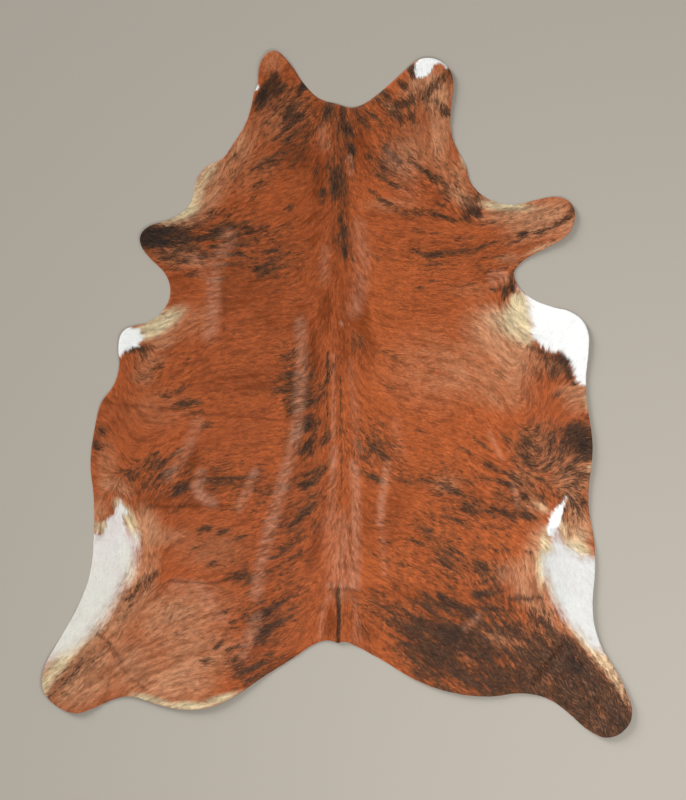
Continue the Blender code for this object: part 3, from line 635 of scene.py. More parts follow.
class SkinSizes(bpy.types.PropertyGroup):
    """How the skin sheet is made"""

    thickness: length("Thickness", "Thickness of the tanned skin without its hair", 0.0022, 0.001)
    mesh_step: length("Mesh step", "Distance between the skin's points in from its edge", 0.011, 0.005)
    crease_depth: length("Crease depth", "Depth of a full crease", 0.0016)
    ripple: length("Ripple", "Height of the skin's soft unevenness between its folds", 0.0005)


class CoatSizes(bpy.types.PropertyGroup):
    """How the hair grows and lies"""

    locks_per_band: bpy.props.IntProperty(
        name="Locks in a band",
        description="Number of locks in each of the coat's bands. A lock is two triangles",
        default=86000,
        min=100,
        max=99000,
    )
    length: length("Length", "Middle length of a lock", 0.0165, 0.004)
    width: length("Width", "Middle width of a lock", 0.0019, 0.0003)
    lift: length("Lift", "How high the tip of a lock lies over the skin", 0.0026)
    ridge: length("Ridge", "How far the sides of a lock lie below its middle line", 0.00028)
    overhang: length("Overhang", "How far the hair reaches past the knife-cut edge", 0.0016)
    stray: angle("Stray", "How far a lock strays from the lie of the coat", 8.0)


class CoatColours(bpy.types.PropertyGroup):
    """Colours of the hair and the skin"""

    red: colour("Red", "The coat's main colour", (0.460, 0.110, 0.030))
    # deep red: laid in patches and streaks of darker hair, and along the creases as painted shade
    deep: colour("Deep red", "Hair in the hollows of the coat", (0.225, 0.046, 0.009))
    tan: colour("Tan", "Paler hair on neck, belly and thighs", (0.540, 0.255, 0.130))
    cream: colour("Cream", "Hair between the tan and the white", (0.690, 0.570, 0.355))
    white: colour("White", "Hair of the white patches", (0.958, 0.972, 0.955))
    chestnut: colour("Chestnut", "Red hair with a little dark hair in it", (0.195, 0.066, 0.024))
    umber: colour("Umber", "The brindle streaks", (0.082, 0.039, 0.021))
    black: colour("Black", "The darkest hair", (0.030, 0.021, 0.018))
    # painted sheen: the colour of the painted highlight along the folds
    painted_sheen: colour("Gleam", "Hair ends that catch the light", (0.560, 0.260, 0.155))
    flesh: colour("Flesh side", "The tanned underside and cut edge", (0.520, 0.430, 0.320))
    stain: colour("Stain", "Clouds on the flesh side", (0.360, 0.270, 0.180))


class StudioSettings(bpy.types.PropertyGroup):
    """Floor, light and camera"""

    floor: colour("Floor", "The plain floor", (0.418, 0.384, 0.335))
    key_strength: bpy.props.FloatProperty(
        name="Key light", description="Strength of the soft light from the side", default=3.3, min=0.0
    )
    key_height: angle("Key height", "Height of the key light over the floor", 20.0)
    key_side: angle("Key side", "Way from which the key light comes, from +X towards +Y", 140.0)
    key_softness: angle("Key softness", "Width of the key light as the rug sees it", 24.0)
    fill_strength: bpy.props.FloatProperty(
        name="Fill", description="Strength of the even light all round", default=0.44, min=0.0
    )
    fill_power: bpy.props.FloatProperty(
        name="Fill lamp", description="Power of the lamp over the tail end", default=54.0, unit="POWER"
    )
    lens: bpy.props.FloatProperty(
        name="Lens", description="Focal length of the camera, in millimetres", default=135.0, min=20.0
    )


# ---------------------------------------------------------------- plan of the hide


class Plan:
    """A grid over the hide as seen from above. A field holds one value for each of its points."""

    def __init__(self, low, high, step):
        self.step = step
        self.low = np.array(low[:2]) - PLAN_MARGIN
        size = np.array(high[:2]) + PLAN_MARGIN - self.low
        columns, rows = (int(math.ceil(side / step)) + 1 for side in size)
        self.columns = self.low[0] + step * np.arange(columns)
        self.rows = self.low[1] + step * np.arange(rows)
        self.across, self.along = np.meshgrid(self.columns, self.rows)
        self.shape = self.across.shape

    def empty(self, value=0.0):
        return np.full(self.shape, value)

    def window(self, low, high):
        """The part of the plan between two corners, as a slice of its rows and columns."""
        first = np.floor((np.array(low) - self.low) / self.step).astype(int)
        last = np.ceil((np.array(high) - self.low) / self.step).astype(int) + 1
        first, last = np.maximum(first, 0), np.maximum(last, 0)
        return slice(first[1], last[1]), slice(first[0], last[0])

    def read(self, field, across, along):
        """The field's value at each place, mixed from the four points around it."""
        column = np.clip((across - self.low[0]) / self.step, 0, self.shape[1] - 1.001)
        row = np.clip((along - self.low[1]) / self.step, 0, self.shape[0] - 1.001)
        c, r = column.astype(int), row.astype(int)
        u, v = column - c, row - r
        lower = field[..., r, c] * (1 - u) + field[..., r, c + 1] * u
        upper = field[..., r + 1, c] * (1 - u) + field[..., r + 1, c + 1] * u
        return lower * (1 - v) + upper * v

    def soften(self, field, reach):
        """The field blurred by a bell curve whose spread is reach."""
        cycles_up = np.fft.fftfreq(self.shape[0])[:, None]
        cycles_right = np.fft.rfftfreq(self.shape[1])[None, :]
        spread = reach / self.step
        keep = np.exp(-2 * (math.pi * spread) ** 2 * (cycles_up**2 + cycles_right**2))
        return np.fft.irfft2(np.fft.rfft2(field) * keep, s=self.shape)

    def distance(self, points, closed, reach):
        """Distance from each point of the plan to a line of points, up to reach."""
        away = self.empty(reach)
        points = np.asarray(points)
        ends = np.roll(points, -1, axis=0) if closed else points[1:]
        for start, end in zip(points, ends):
            part = self.window(np.minimum(start, end) - reach, np.maximum(start, end) + reach)
            run = end - start
            x, y = self.across[part] - start[0], self.along[part] - start[1]
            t = np.clip((x * run[0] + y * run[1]) / max(run @ run, 1e-12), 0, 1)
            here = np.hypot(x - t * run[0], y - t * run[1])
            away[part] = np.minimum(away[part], here)
        return away

    def inside(self, points):
        """True where the plan lies inside a closed line."""
        points = np.asarray(points)
        ends = np.roll(points, -1, axis=0)
        found = np.zeros(self.shape, bool)
        for number, along in enumerate(self.rows):
            cut = (points[:, 1] <= along) != (ends[:, 1] <= along)
            start, end = points[cut], ends[cut]
            part = (along - start[:, 1]) / (end[:, 1] - start[:, 1])
            crossings = np.sort(start[:, 0] + part * (end[:, 0] - start[:, 0]))
            found[number] = np.searchsorted(crossings, self.columns) % 2 == 1
        return found

    def signed_distance(self, points, reach):
        """Distance to a closed line, positive inside it."""
        away = self.distance(points, True, reach)
        return np.where(self.inside(points), away, -away)

    def noise(self, grain, dice):
        """Even noise of one grain size, about 1 high."""
        field = self.soften(dice.standard_normal(self.shape), grain)
        return field / field.std()


def smooth_step(value, low, high):
    part = np.clip((value - low) / (high - low), 0, 1)
    return part * part * (3 - 2 * part)


def comb(plan, field, lie, reach):
    """Draws a field out along the lie of the hair, to both sides, and keeps its height."""
    total = field.copy()
    for side in (-1, 1):
        across, along = plan.across.copy(), plan.along.copy()
        for _ in range(int(round(reach / COMB_STEP))):
            x, y = plan.read(lie, across, along)
            size = np.maximum(np.hypot(x, y), 1e-6)
            across += side * COMB_STEP * x / size
            along += side * COMB_STEP * y / size
            total += plan.read(field, across, along)
    return total / total.std(axis=(-2, -1), keepdims=True)


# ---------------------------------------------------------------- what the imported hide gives


def edge_of(mesh):
    """The hide's edge seen from above, as one closed line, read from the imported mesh."""
    places = np.empty(len(mesh.vertices) * 3)
    mesh.vertices.foreach_get("co", places)
    places = places.reshape(-1, 3)
    _, first, same = np.unique(places.round(5), axis=0, return_index=True, return_inverse=True)
    same = same.ravel()
    sides = {}
    for face in mesh.polygons:
        corners = [int(same[index]) for index in face.vertices]
        kind = "wall" if abs(face.normal.z) < 0.5 else ("under" if face.normal.z < 0 else "top")
        for pair in zip(corners, corners[1:] + corners[:1]):
            sides.setdefault(tuple(sorted(pair)), []).append(kind)
    after = {}
    for pair, kinds in sides.items():
        if sorted(kinds) == ["under", "wall"]:
            after.setdefault(pair[0], []).append(pair[1])
            after.setdefault(pair[1], []).append(pair[0])
    start = here = next(iter(after))
    chain, last = [start], None
    while True:
        step = next(spot for spot in after[here] if spot != last)
        last, here = here, step
        if here == start:
            break
        chain.append(here)
    return places[first][chain][:, :2]


def even_loop(points, step):
    """A closed line with its points about a step apart."""
    loop = np.vstack([points, points[:1]])
    run = np.concatenate([[0.0], np.cumsum(np.hypot(*np.diff(loop, axis=0).T))])
    places = np.linspace(0, run[-1], int(round(run[-1] / step)), endpoint=False)
    return np.column_stack([np.interp(places, run, loop[:, axis]) for axis in (0, 1)])


def soft_loop(points, step, reach):
    """A closed line with its corners rounded by a bell curve whose spread is reach."""
    spread = reach / step
    keep = np.exp(-2 * (math.pi * spread * np.fft.fftfreq(len(points))) ** 2)
    return np.column_stack([np.fft.ifft(np.fft.fft(points[:, axis]) * keep).real for axis in (0, 1)])


def folds_of(mesh, plan, edge):
    """Height of the hide's underside over the plan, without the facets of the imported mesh."""
    tree = BVHTree.FromPolygons(
        [vertex.co for vertex in mesh.vertices], [tuple(face.vertices) for face in mesh.polygons]
    )
    rough = Plan(*CAD_BOX, FOLD_PROBE)
    height, weight = rough.empty(), rough.empty()
    below = CAD_BOX[0][2] - 1.0
    for row, column in np.argwhere(rough.inside(edge)):
        start = Vector((rough.columns[column], rough.rows[row], below))
        hit = tree.ray_cast(start, Vector((0, 0, 1)))[0]
        if hit:
            height[row, column] = hit.z
            weight[row, column] = 1.0
    wide = 4 * FOLD_SOFTNESS
    far = rough.soften(height, wide) / np.maximum(rough.soften(weight, wide), 1e-6)
    near_weight = rough.soften(weight, FOLD_SOFTNESS)
    near = rough.soften(height, FOLD_SOFTNESS) / np.maximum(near_weight, 1e-6)
    share = np.clip(near_weight * 4, 0, 1)
    level = near * share + far * (1 - share)
    return np.maximum(rough.read(level, plan.across, plan.along), 0.0)


# ---------------------------------------------------------------- the coat on the plan


def lie_of_the_hair(plan):
    """The way the hair points all over the plan, as two fields of a unit vector."""
    guides = np.array([record(Guide, row) for run in HAIR_GUIDES.values() for row in run])
    heading = np.radians(guides[:, 2])
    rough = Plan(*CAD_BOX, GUIDE_STEP)
    away = np.hypot(rough.across[..., None] - guides[:, 0], rough.along[..., None] - guides[:, 1])
    weight = 1 / (away**2 + GUIDE_CORE**2) ** (GUIDE_SHARPNESS / 2)
    lie = np.stack([weight @ np.cos(heading), weight @ np.sin(heading)])
    lie /= np.maximum(np.hypot(*lie), 1e-9)
    lie = rough.read(lie, plan.across, plan.along)
    return lie / np.maximum(np.hypot(*lie), 1e-9)


def oval(plan, across, along, half_length, half_width, turn):
    """Part of the plan under an ellipse, and how far out each point lies, 1 at the rim."""
    reach = max(half_length, half_width)
    part = plan.window((across - reach, along - reach), (across + reach, along + reach))
    x, y = plan.across[part] - across, plan.along[part] - along
    c, s = math.cos(turn), math.sin(turn)
    return part, np.hypot((x * c + y * s) / half_length, (y * c - x * s) / half_width)


def washes(plan, rows):
    """One tone's washes laid over each other."""
    tone = plan.empty()
    for wash in (record(Wash, row) for row in rows):
        part, out = oval(plan, *wash[:4], math.radians(wash.turn))
        amount = wash.amount * smooth_step(1 - out, 0.0, 0.85)
        tone[part] = tone[part] + amount - tone[part] * np.minimum(amount, 1)
    return tone


def dark_marks(plan, lie):
    """The single marks: each a long soft drop that lies along the hair."""
    dark = plan.empty()
    for mark in (record(Mark, row) for run in DARK_MARKS.values() for row in run):
        x, y = plan.read(lie, mark.across, mark.along)
        turn = math.atan2(y, x) + math.radians(mark.turn)
        half_length, half_width = MARK_LENGTH * mark.length, MARK_WIDTH * mark.width
        part, out = oval(plan, mark.across, mark.along, half_length, half_width, turn)
        drop = mark.depth * (1 - np.clip(out, 0, 1) ** 2) ** 1.5
        dark[part] = np.maximum(dark[part], drop) + 0.3 * np.minimum(dark[part], drop)
    return dark


def lines(plan, rows):
    """Long lines, each fading to its sides."""
    tone = plan.empty()
    for line in (record(Line, row) for row in rows.values()):
        away = plan.distance(line.points, False, line.width)
        tone = np.maximum(tone, line.amount * (1 - (away / line.width) ** 2) ** 2)
    return tone


def white_patches(plan, fray):
    """How white the coat is, ragged along the hair at each patch's line, and the white hair's shade."""
    white, shade = plan.empty(), plan.empty(0.5)
    for patch in (record(Patch, row) for row in WHITE_PATCHES.values()):
        inside = plan.signed_distance(patch.outline, PATCH_REACH)
        ragged = inside + min(patch.softness, PATCH_FRAY) * 0.8 * fray
        here = patch.amount * smooth_step(ragged, -patch.softness, patch.softness)
        white = np.maximum(white, here)
        shade = np.where(here > 0, patch.shade, shade)
    return white, shade


@functools.lru_cache(maxsize=None)
def hide_plan():
    """Everything that is worked out on the plan, once: its grid, its edge, the hair's lie, its fields."""
    plan = Plan(*CAD_BOX, PLAN_STEP)
    dice = np.random.default_rng(SEED)
    edge = soft_loop(even_loop(edge_of(HIDE.data), EDGE_PROBE), EDGE_PROBE, EDGE_SOFTNESS)
    edge = even_loop(edge, EDGE_STEP)
    lie = lie_of_the_hair(plan)

    cloud = plan.noise(CLOUD_GRAIN, dice)
    wave = plan.noise(WAVE_GRAIN, dice)
    tuft, streak, fleck = (
        comb(plan, plan.noise(grain, dice), lie, reach) for grain, reach in (TUFT, STREAK, FLECK)
    )
    fields = {"inside": plan.signed_distance(edge, EDGE_REACH), "folds": folds_of(HIDE.data, plan, edge)}
    fields.update(cloud=cloud, wave=wave, fleck=fleck)

    # the dark hair: single marks and lines over a brindle that is denser here and there
    patchy = 0.55 * tuft + 0.40 * streak + 0.40 * cloud
    marks = np.maximum(dark_marks(plan, lie), lines(plan, DARK_LINES))
    marks = np.clip(marks + 0.18 * patchy * smooth_step(marks, 0.0, 0.4), 0, 1.4)
    brindle = washes(plan, WASHES["brindle"]) + 0.04
    sway = 0.70 * brindle * np.clip(1.25 - brindle, 0.35, 1)
    brindle = np.clip(brindle + sway * patchy, 0, 1)
    dark = np.where(marks > 1, marks, marks + brindle * (1 - np.minimum(marks, 1)))

    # the other tones, each a little uneven along the hair, and how deep the coat is shaded, with painted
    # shade in the creases and painted sheens along the folds
    creases = fields["crease"] = lines(plan, CREASES)
    fields["tan"] = np.clip(washes(plan, WASHES["tan"]) * (1 + 0.12 * tuft + 0.08 * streak), 0, 1)
    fields["cream"] = np.clip(washes(plan, WASHES["cream"]) * (1 + 0.12 * streak), 0, 1)
    # painted shade: the creases darken the hair in them
    dark = np.maximum(dark * (1 - np.minimum(1.1 * fields["cream"], 1)), 0.14 * creases)
    fields["dark"] = np.clip(dark, 0, 1.4)
    # deep red: patches and streaks of darker hair, and painted shade along the creases
    deep_patches = washes(plan, WASHES["deep"]) * (1 + 0.35 * tuft + 0.35 * streak)
    streaked = 0.62 * smooth_step(0.75 * streak + 0.45 * tuft + 0.2 * fleck, 0.0, 2.0)
    fields["deep"] = np.clip(deep_patches + streaked + 0.75 * creases, 0, 1)
    # the painted sheens: a painted highlight along the folds
    fields["painted_sheen"] = np.clip(lines(plan, PAINTED_SHEENS) * (1 + 0.22 * streak + 0.12 * fleck), 0, 1)
    white, white_shade = white_patches(plan, 0.6 * tuft + 0.6 * fleck)
    fields["white"] = white
    # the creases lower the shade of the hair in them: painted shade
    shade = 0.5 + 0.08 * tuft + 0.12 * streak + 0.14 * fleck - 0.36 * creases
    shade -= 0.14 * smooth_step(fields["dark"], 0.5, 1.1)
    plain = np.minimum(1.5 * white, 1)
    fields["shade"] = np.clip(shade + (white_shade + 0.02 * fleck - shade) * plain, 0, 1)
    return plan, edge, lie, fields


def skin_sides(fields, sizes):
    """Heights of the skin's hair side and flesh side over the plan."""
    ripple = sizes.ripple * (0.6 * fields["cloud"] + 0.4 * fields["wave"])
    trough = sizes.crease_depth * fields["crease"]
    calm = smooth_step(fields["inside"], 0.0, CALM_RIM)
    under = np.maximum(fields["folds"] + (np.maximum(ripple, -DEEPEST_RIPPLE) - trough) * calm, 0.0)
    return under + sizes.thickness, under


# ---------------------------------------------------------------- shaders


class Value:
    """A number in a shader, as a socket that Python's operators build on."""

    def __init__(self, shader, socket):
        self.shader, self.socket = shader, socket

    def _math(self, operation, first, second):
        node = self.shader.add("ShaderNodeMath", {"operation": operation}, [first, second])
        return Value(self.shader, node.outputs[0])

    def __add__(self, other):
        return self._math("ADD", self, other)

    def __mul__(self, other):
        return self._math("MULTIPLY", self, other)

    def __sub__(self, other):
        return self._math("SUBTRACT", self, other)

    def __rsub__(self, other):
        return self._math("SUBTRACT", other, self)

    __radd__ = __add__
    __rmul__ = __mul__

    def within(self, low, high):
        """0 at low, 1 at high, and smooth between."""
        node = self.shader.add(
            "ShaderNodeMapRange",
            {"interpolation_type": "SMOOTHSTEP"},
            {"Value": self, "From Min": low, "From Max": high},
        )
        return Value(self.shader, node.outputs["Result"])


class Shader:
    """A material whose nodes are written as Python expressions."""

    def __init__(self, name):
        self.material = bpy.data.materials.new(name)
        self.material.use_nodes = True
        self.tree = self.material.node_tree
        self.surface = self.tree.nodes["Principled BSDF"]

    def put(self, socket, value):
        """Sets a socket to a number or a colour, or links another socket to it."""
        if isinstance(value, Value):
            value = value.socket
        if isinstance(value, bpy.types.NodeSocket):
            self.tree.links.new(value, socket)
        elif hasattr(value, "__len__") and len(value) == 3 and socket.type == "RGBA":
            socket.default_value = (*value, 1.0)
        else:
            socket.default_value = value

    def add(self, kind, settings=None, values=None):
        """A node of a kind, with its settings, and the values of its sockets in order or by name."""
        node = self.tree.nodes.new(kind)
        for name, setting in (settings or {}).items():
            setattr(node, name, setting)
        named = values.items() if isinstance(values, dict) else enumerate(values or ())
        for key, value in named:
            self.put(node.inputs[key], value)
        return node

    def field(self, name):
        """A number that the mesh carries for each of its corners or points."""
        return Value(self, self.add("ShaderNodeAttribute", {"attribute_name": name}).outputs["Fac"])

    def noise(self, scale, detail, roughness, stretch=(1.0, 1.0, 1.0)):
        """Even noise over the place on the hide, in metres, which may be stretched first."""
        here = self.add("ShaderNodeTexCoord").outputs["Object"]
        place = self.add("ShaderNodeVectorMath", {"operation": "MULTIPLY"}, [here, stretch]).outputs[0]
        values = {"Vector": place, "Scale": scale, "Detail": detail, "Roughness": roughness}
        return Value(self, self.add("ShaderNodeTexNoise", None, values).outputs["Fac"])

    def bump(self, height, strength, depth):
        """A normal that follows the height of a fine relief."""
        values = {"Strength": strength, "Distance": depth, "Height": height}
        return self.add("ShaderNodeBump", None, values).outputs["Normal"]

    def mix(self, share, first, second):
        """From one colour to the other."""
        node = self.add("ShaderNodeMix", {"data_type": "RGBA", "clamp_factor": True})
        self.put(node.inputs[0], share)
        self.put(node.inputs[6], first)
        self.put(node.inputs[7], second)
        return node.outputs[2]

    def scaled(self, colour, amount):
        """A colour made brighter or darker."""
        node = self.add("ShaderNodeVectorMath", {"operation": "SCALE"}, {"Vector": colour, "Scale": amount})
        return node.outputs["Vector"]

    def feed(self, **values):
        """Sets or links the sockets of the surface."""
        for name, value in values.items():
            self.put(self.surface.inputs[name.replace("_", " ")], value)


def coat_colour(shader, colours):
    """The coat from its fields: red, then tan and cream, the brindle, the white and the painted sheens over
    the folds.
    """
    mottle = shader.noise(330.0, 3.0, 0.65) - 0.5
    coat = shader.mix(shader.field("deep"), colours.red, colours.deep)
    coat = shader.mix(shader.field("tan"), coat, colours.tan)
    coat = shader.mix(shader.field("cream"), coat, colours.cream)
    dark = shader.field("dark") + mottle * 0.10
    chestnut = dark.within(0.02, 0.50) * (0.80 - shader.field("tan") * 0.45)
    coat = shader.mix(chestnut, coat, colours.chestnut)
    coat = shader.mix(dark.within(0.25, 0.90), coat, colours.umber)
    coat = shader.mix(dark.within(0.92, 1.25), coat, colours.black)
    # painted highlight: a paler sheen painted along the folds
    coat = shader.mix(shader.field("painted_sheen") * 0.66, coat, colours.painted_sheen)
    coat = shader.mix(shader.field("white"), coat, colours.white)
    grain = 0.34 + shader.field("dark") * 0.60 - shader.field("white") * 0.34
    tone = shader.field("shade") * 0.90 + 0.55 + mottle * grain
    return shader.scaled(coat, tone)


def coat_material(colours):
    """The lying hair, which the roots' shade and the locks' own shape make lively enough."""
    shader = Shader("lying_hair")
    shader.feed(Base_Color=coat_colour(shader, colours), Roughness=0.48, Specular_IOR_Level=0.12)
    return shader.material


def skin_material(colours):
    """The hair side of the skin, where the roots of the coat shade it."""
    shader = Shader("hair_roots")
    nap = shader.noise(420.0, 3.0, 0.65)
    shader.feed(
        Base_Color=shader.scaled(coat_colour(shader, colours), 0.72 + nap * 0.16),
        Roughness=0.62 + nap * 0.18,
        Normal=shader.bump(nap, 0.5, 0.0008),
        Specular_IOR_Level=0.25,
    )
    return shader.material


def flesh_material(colours):
    """The tanned underside and the cut edge: a pale suede nap with faint cloudy staining."""
    shader = Shader("flesh_side")
    nap = shader.noise(900.0, 4.0, 0.7)
    cloud = shader.noise(7.0, 4.0, 0.55)
    fibres = shader.noise(130.0, 3.0, 0.6, stretch=(1.0, 0.35, 1.0))
    stained = shader.mix(cloud.within(0.35, 0.75) * 0.45, colours.flesh, colours.stain)
    shader.feed(
        Base_Color=shader.scaled(stained, 0.80 + nap * 0.28 + fibres * 0.14),
        Roughness=0.78 + nap * 0.16,
        Normal=shader.bump(nap * 0.6 + fibres * 0.4, 0.6, 0.0006),
        Specular_IOR_Level=0.20,
    )
    return shader.material


# ---------------------------------------------------------------- pieces


def put(name, data):
    """A new object in the scene."""
    item = bpy.data.objects.new(name, data)
    bpy.context.collection.objects.link(item)
    return item


def mesh_object(name, places, faces, smooth):
    """A mesh object of triangles, from arrays."""
    mesh = bpy.data.meshes.new(name)
    mesh.vertices.add(len(places))
    mesh.vertices.foreach_set("co", np.ascontiguousarray(places, np.float32).ravel())
    mesh.loops.add(faces.size)
    mesh.loops.foreach_set("vertex_index", np.ascontiguousarray(faces, np.int32).ravel())
    mesh.polygons.add(len(faces))
    mesh.polygons.foreach_set("loop_start", np.arange(0, faces.size, 3, dtype=np.int32))
    mesh.polygons.foreach_set("use_smooth", np.full(len(faces), smooth))
    mesh.update(calc_edges=True)
    mesh.validate()
    return put(name, mesh)


def stand_for_hide(piece):
    """Says that a piece belongs to the rug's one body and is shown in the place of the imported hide."""
    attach(piece, "root")
    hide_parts("hide")


def carry(mesh, name, values):
    """Stores a number for each point of a mesh."""
    attribute = mesh.attributes.new(name, "FLOAT", "POINT")
    attribute.data.foreach_set("value", np.ascontiguousarray(values, np.float32))


def lay_flat_map(mesh, places, faces):
    """A map of the mesh as seen from above."""
    low = places[:, :2].min(axis=0)
    side = (places[:, :2].max(axis=0) - low).max()
    corners = (places[faces.ravel(), :2] - low) / side
    layer = mesh.uv_layers.new(name="OFBake")
    layer.data.foreach_set("uv", np.ascontiguousarray(corners, np.float32).ravel())


def skin_points(plan, edge, fields, step):
    """Points of the skin's triangles: its edge, and a grid of equal triangles within it."""
    low, high = edge.min(axis=0), edge.max(axis=0)
    rows = np.arange(low[1], high[1], step * math.sqrt(3) / 2)
    inner = []
    for number, along in enumerate(rows):
        across = np.arange(low[0] + (number % 2) * step / 2, high[0], step)
        inner.append(np.column_stack([across, np.full(len(across), along)]))
    inner = np.vstack(inner)
    deep_enough = plan.read(fields["inside"], *inner.T) > EDGE_STEP * 0.9
    return np.vstack([edge, inner[deep_enough]])


def skin_triangles(points, rim):
    """The skin seen from above: its points, the first rim of them the edge, and its triangles."""
    around = [(number, (number + 1) % rim) for number in range(rim)]
    flat, _, faces, *_ = delaunay_2d_cdt([Vector(point) for point in points], around, [], 1, 1e-6)
    flat = np.array([tuple(point) for point in flat])
    faces = np.array(faces)
    turns = np.cross(flat[faces[:, 1]] - flat[faces[:, 0]], flat[faces[:, 2]] - flat[faces[:, 0]])
    faces[turns < 0] = faces[turns < 0][:, ::-1]
    return flat, faces


def build_skin(sizes, colours):
    """The skin: its hair side, its flesh side and the cut wall between them."""
    plan, edge, _, fields = hide_plan()
    flat, faces = skin_triangles(skin_points(plan, edge, fields, sizes.mesh_step), len(edge))
    places = np.vstack(
        [np.column_stack([flat, plan.read(side, *flat.T)]) for side in skin_sides(fields, sizes)]
    )
    count = len(flat)
    start, end = boundary_of(faces).T
    wall = np.vstack(
        [np.column_stack([start, start + count, end + count]), np.column_stack([start, end + count, end])]
    )
    skin = mesh_object("skin", places, np.vstack([faces, faces[:, ::-1] + count, wall]), True)
    skin.data.materials.append(skin_material(colours))
    skin.data.materials.append(flesh_material(colours))
    flesh = np.zeros(len(skin.data.polygons), np.int32)
    flesh[len(faces) :] = 1
    skin.data.polygons.foreach_set("material_index", flesh)
    for name in COAT_FIELDS:
        carry(skin.data, name, np.tile(plan.read(fields[name], *flat.T), 2))
    stand_for_hide(skin)


def boundary_of(faces):
    """The sides that only one triangle has, in that triangle's order."""
    sides = np.vstack([faces[:, [0, 1]], faces[:, [1, 2]], faces[:, [2, 0]]])
    keys = np.sort(sides, axis=1)
    _, first, counts = np.unique(keys, axis=0, return_index=True, return_counts=True)
    return sides[first[counts == 1]]


def roots(plan, fields, count, dice):
    """Places where locks grow, evenly strewn over the hide, from its tail to its neck."""
    area = (fields["inside"] > ROOT_MARGIN).sum() * plan.step**2
    step = math.sqrt(area / count)
    across = np.arange(plan.columns[0], plan.columns[-1], step)
    along = np.arange(plan.rows[0], plan.rows[-1], step)
    across, along = (field.ravel() for field in np.meshgrid(across, along))
    across = across + step * dice.uniform(-0.55, 0.55, across.size)
    along = along + step * dice.uniform(-0.55, 0.55, along.size)
    kept = plan.read(fields["inside"], across, along) > ROOT_MARGIN
    across, along = across[kept], along[kept]
    order = np.argsort(along)
    return across[order], along[order]


def grow(plan, fields, lie, top, sizes, across, along, dice):
    """Where each lock is seen, and its four corners: root, one side, tip and the other side."""
    count = len(across)
    x, y = plan.read(lie, across, along)
    wave = plan.read(fields["wave"], across, along)
    sleek = 1 - 0.80 * plan.read(fields["white"], across, along)
    heading = np.arctan2(y, x) + sizes.stray * sleek * (dice.standard_normal(count) + 0.7 * wave)
    x, y = np.cos(heading), np.sin(heading)
    length = sizes.length * np.clip(dice.normal(1.0, 0.20, count), 0.5, 1.6)
    width = sizes.width * np.clip(dice.normal(1.0, 0.22, count), 0.5, 1.7)
    allowed = -sizes.overhang * dice.uniform(0.0, 1.0, count)
    for _ in range(SHORTENINGS):
        reach = plan.read(fields["inside"], across + length * x, along + length * y)
        length = np.where(reach < allowed, length * SHORTENING, length)
    length = np.maximum(length, SHORTEST_LOCK)
    lift = sizes.lift * dice.uniform(0.45, 1.15, count) * np.clip(length / sizes.length, 0.25, 1.3)
    lift = lift * sleek

    def corner(part, side, rise):
        place_x = across + part * length * x - side * width / 2 * y
        place_y = along + part * length * y + side * width / 2 * x
        return np.column_stack([place_x, place_y, plan.read(top, place_x, place_y) + rise])

    side_rise = np.maximum(LOCK_SHOULDER * lift - sizes.ridge * sleek, LOWEST_SIDE)
    seen = across + LOCK_SEEN * length * x, along + LOCK_SEEN * length * y
    corners = [
        corner(0.0, 0.0, -ROOT_DEPTH),
        corner(LOCK_SHOULDER, -1.0, side_rise),
        corner(1.0, 0.0, lift),
        corner(LOCK_SHOULDER, 1.0, side_rise),
    ]
    return seen, np.stack(corners, axis=1)


def lock_values(plan, fields, field, across, along, dice):
    """One field's value for each lock, with its hairs a little mixed."""
    values = plan.read(fields[field], across, along)
    chance = dice.standard_normal(len(across))
    if field == "dark":
        level = 0.5 + 0.20 * plan.read(fields["fleck"], across, along)
        level = level + dice.uniform(-0.45, 0.45, len(across))
        struck = np.maximum(0.28 + 0.64 * values + 0.22 * chance, 0.2) * smooth_step(values, 0.02, 0.16)
        spared = 0.28 * values + 0.34 * values**2 + 0.6 * np.maximum(values - 0.7, 0)
        return np.where(level < values, struck, spared)
    if field == "shade":
        dark, white = (plan.read(fields[other], across, along) for other in ("dark", "white"))
        spread = (0.16 + 0.24 * np.minimum(dark, 1)) * (1 - np.minimum(1.3 * white, 0.88))
        return np.clip(values + spread * chance, 0, 1)
    if field == "painted_sheen":
        return values
    if field == "white":
        return values + 0.5 * values * np.maximum(0.7 - values, 0) * chance
    if field == "tan":
        return np.clip(values + (0.04 + 0.25 * values * (1 - values)) * chance, 0, 1)
    return np.clip(values + 0.4 * values * (1 - values) * chance, 0, 1)


def grow_band(name, across, along, sizes, material, top, dice):
    """One band of the coat as a mesh of locks."""
    plan, _, lie, fields = hide_plan()
    seen, corners = grow(plan, fields, lie, top, sizes, across, along, dice)
    count = len(corners)
    first = 4 * np.arange(count)[:, None]
    faces = np.hstack([first + [[0, 1, 2]], first + [[0, 2, 3]]]).reshape(-1, 3)
    places = corners.reshape(-1, 3)
    band = mesh_object(name, places, faces, False)
    for field in COAT_FIELDS:
        values = lock_values(plan, fields, field, *seen, dice)[:, None] + np.zeros(4)
        if field == "shade":
            white = plan.read(fields["white"], *seen)[:, None]
            values = np.clip(values + LOCK_SHADE * (1 - 0.7 * white), 0, 1)
        carry(band.data, field, values.ravel())
    lay_flat_map(band.data, places, faces)
    band.data.materials.append(material)
    stand_for_hide(band)
    return band


def lay_as_sheet(edge):
    """Works out the hide's flat size and area from its edge, which nothing uses."""
    flat = [float(side) for side in edge.max(axis=0) - edge.min(axis=0)]
    around = np.roll(edge, -1, axis=0)
    area = abs(np.sum(edge[:, 0] * around[:, 1] - edge[:, 1] * around[:, 0])) / 2


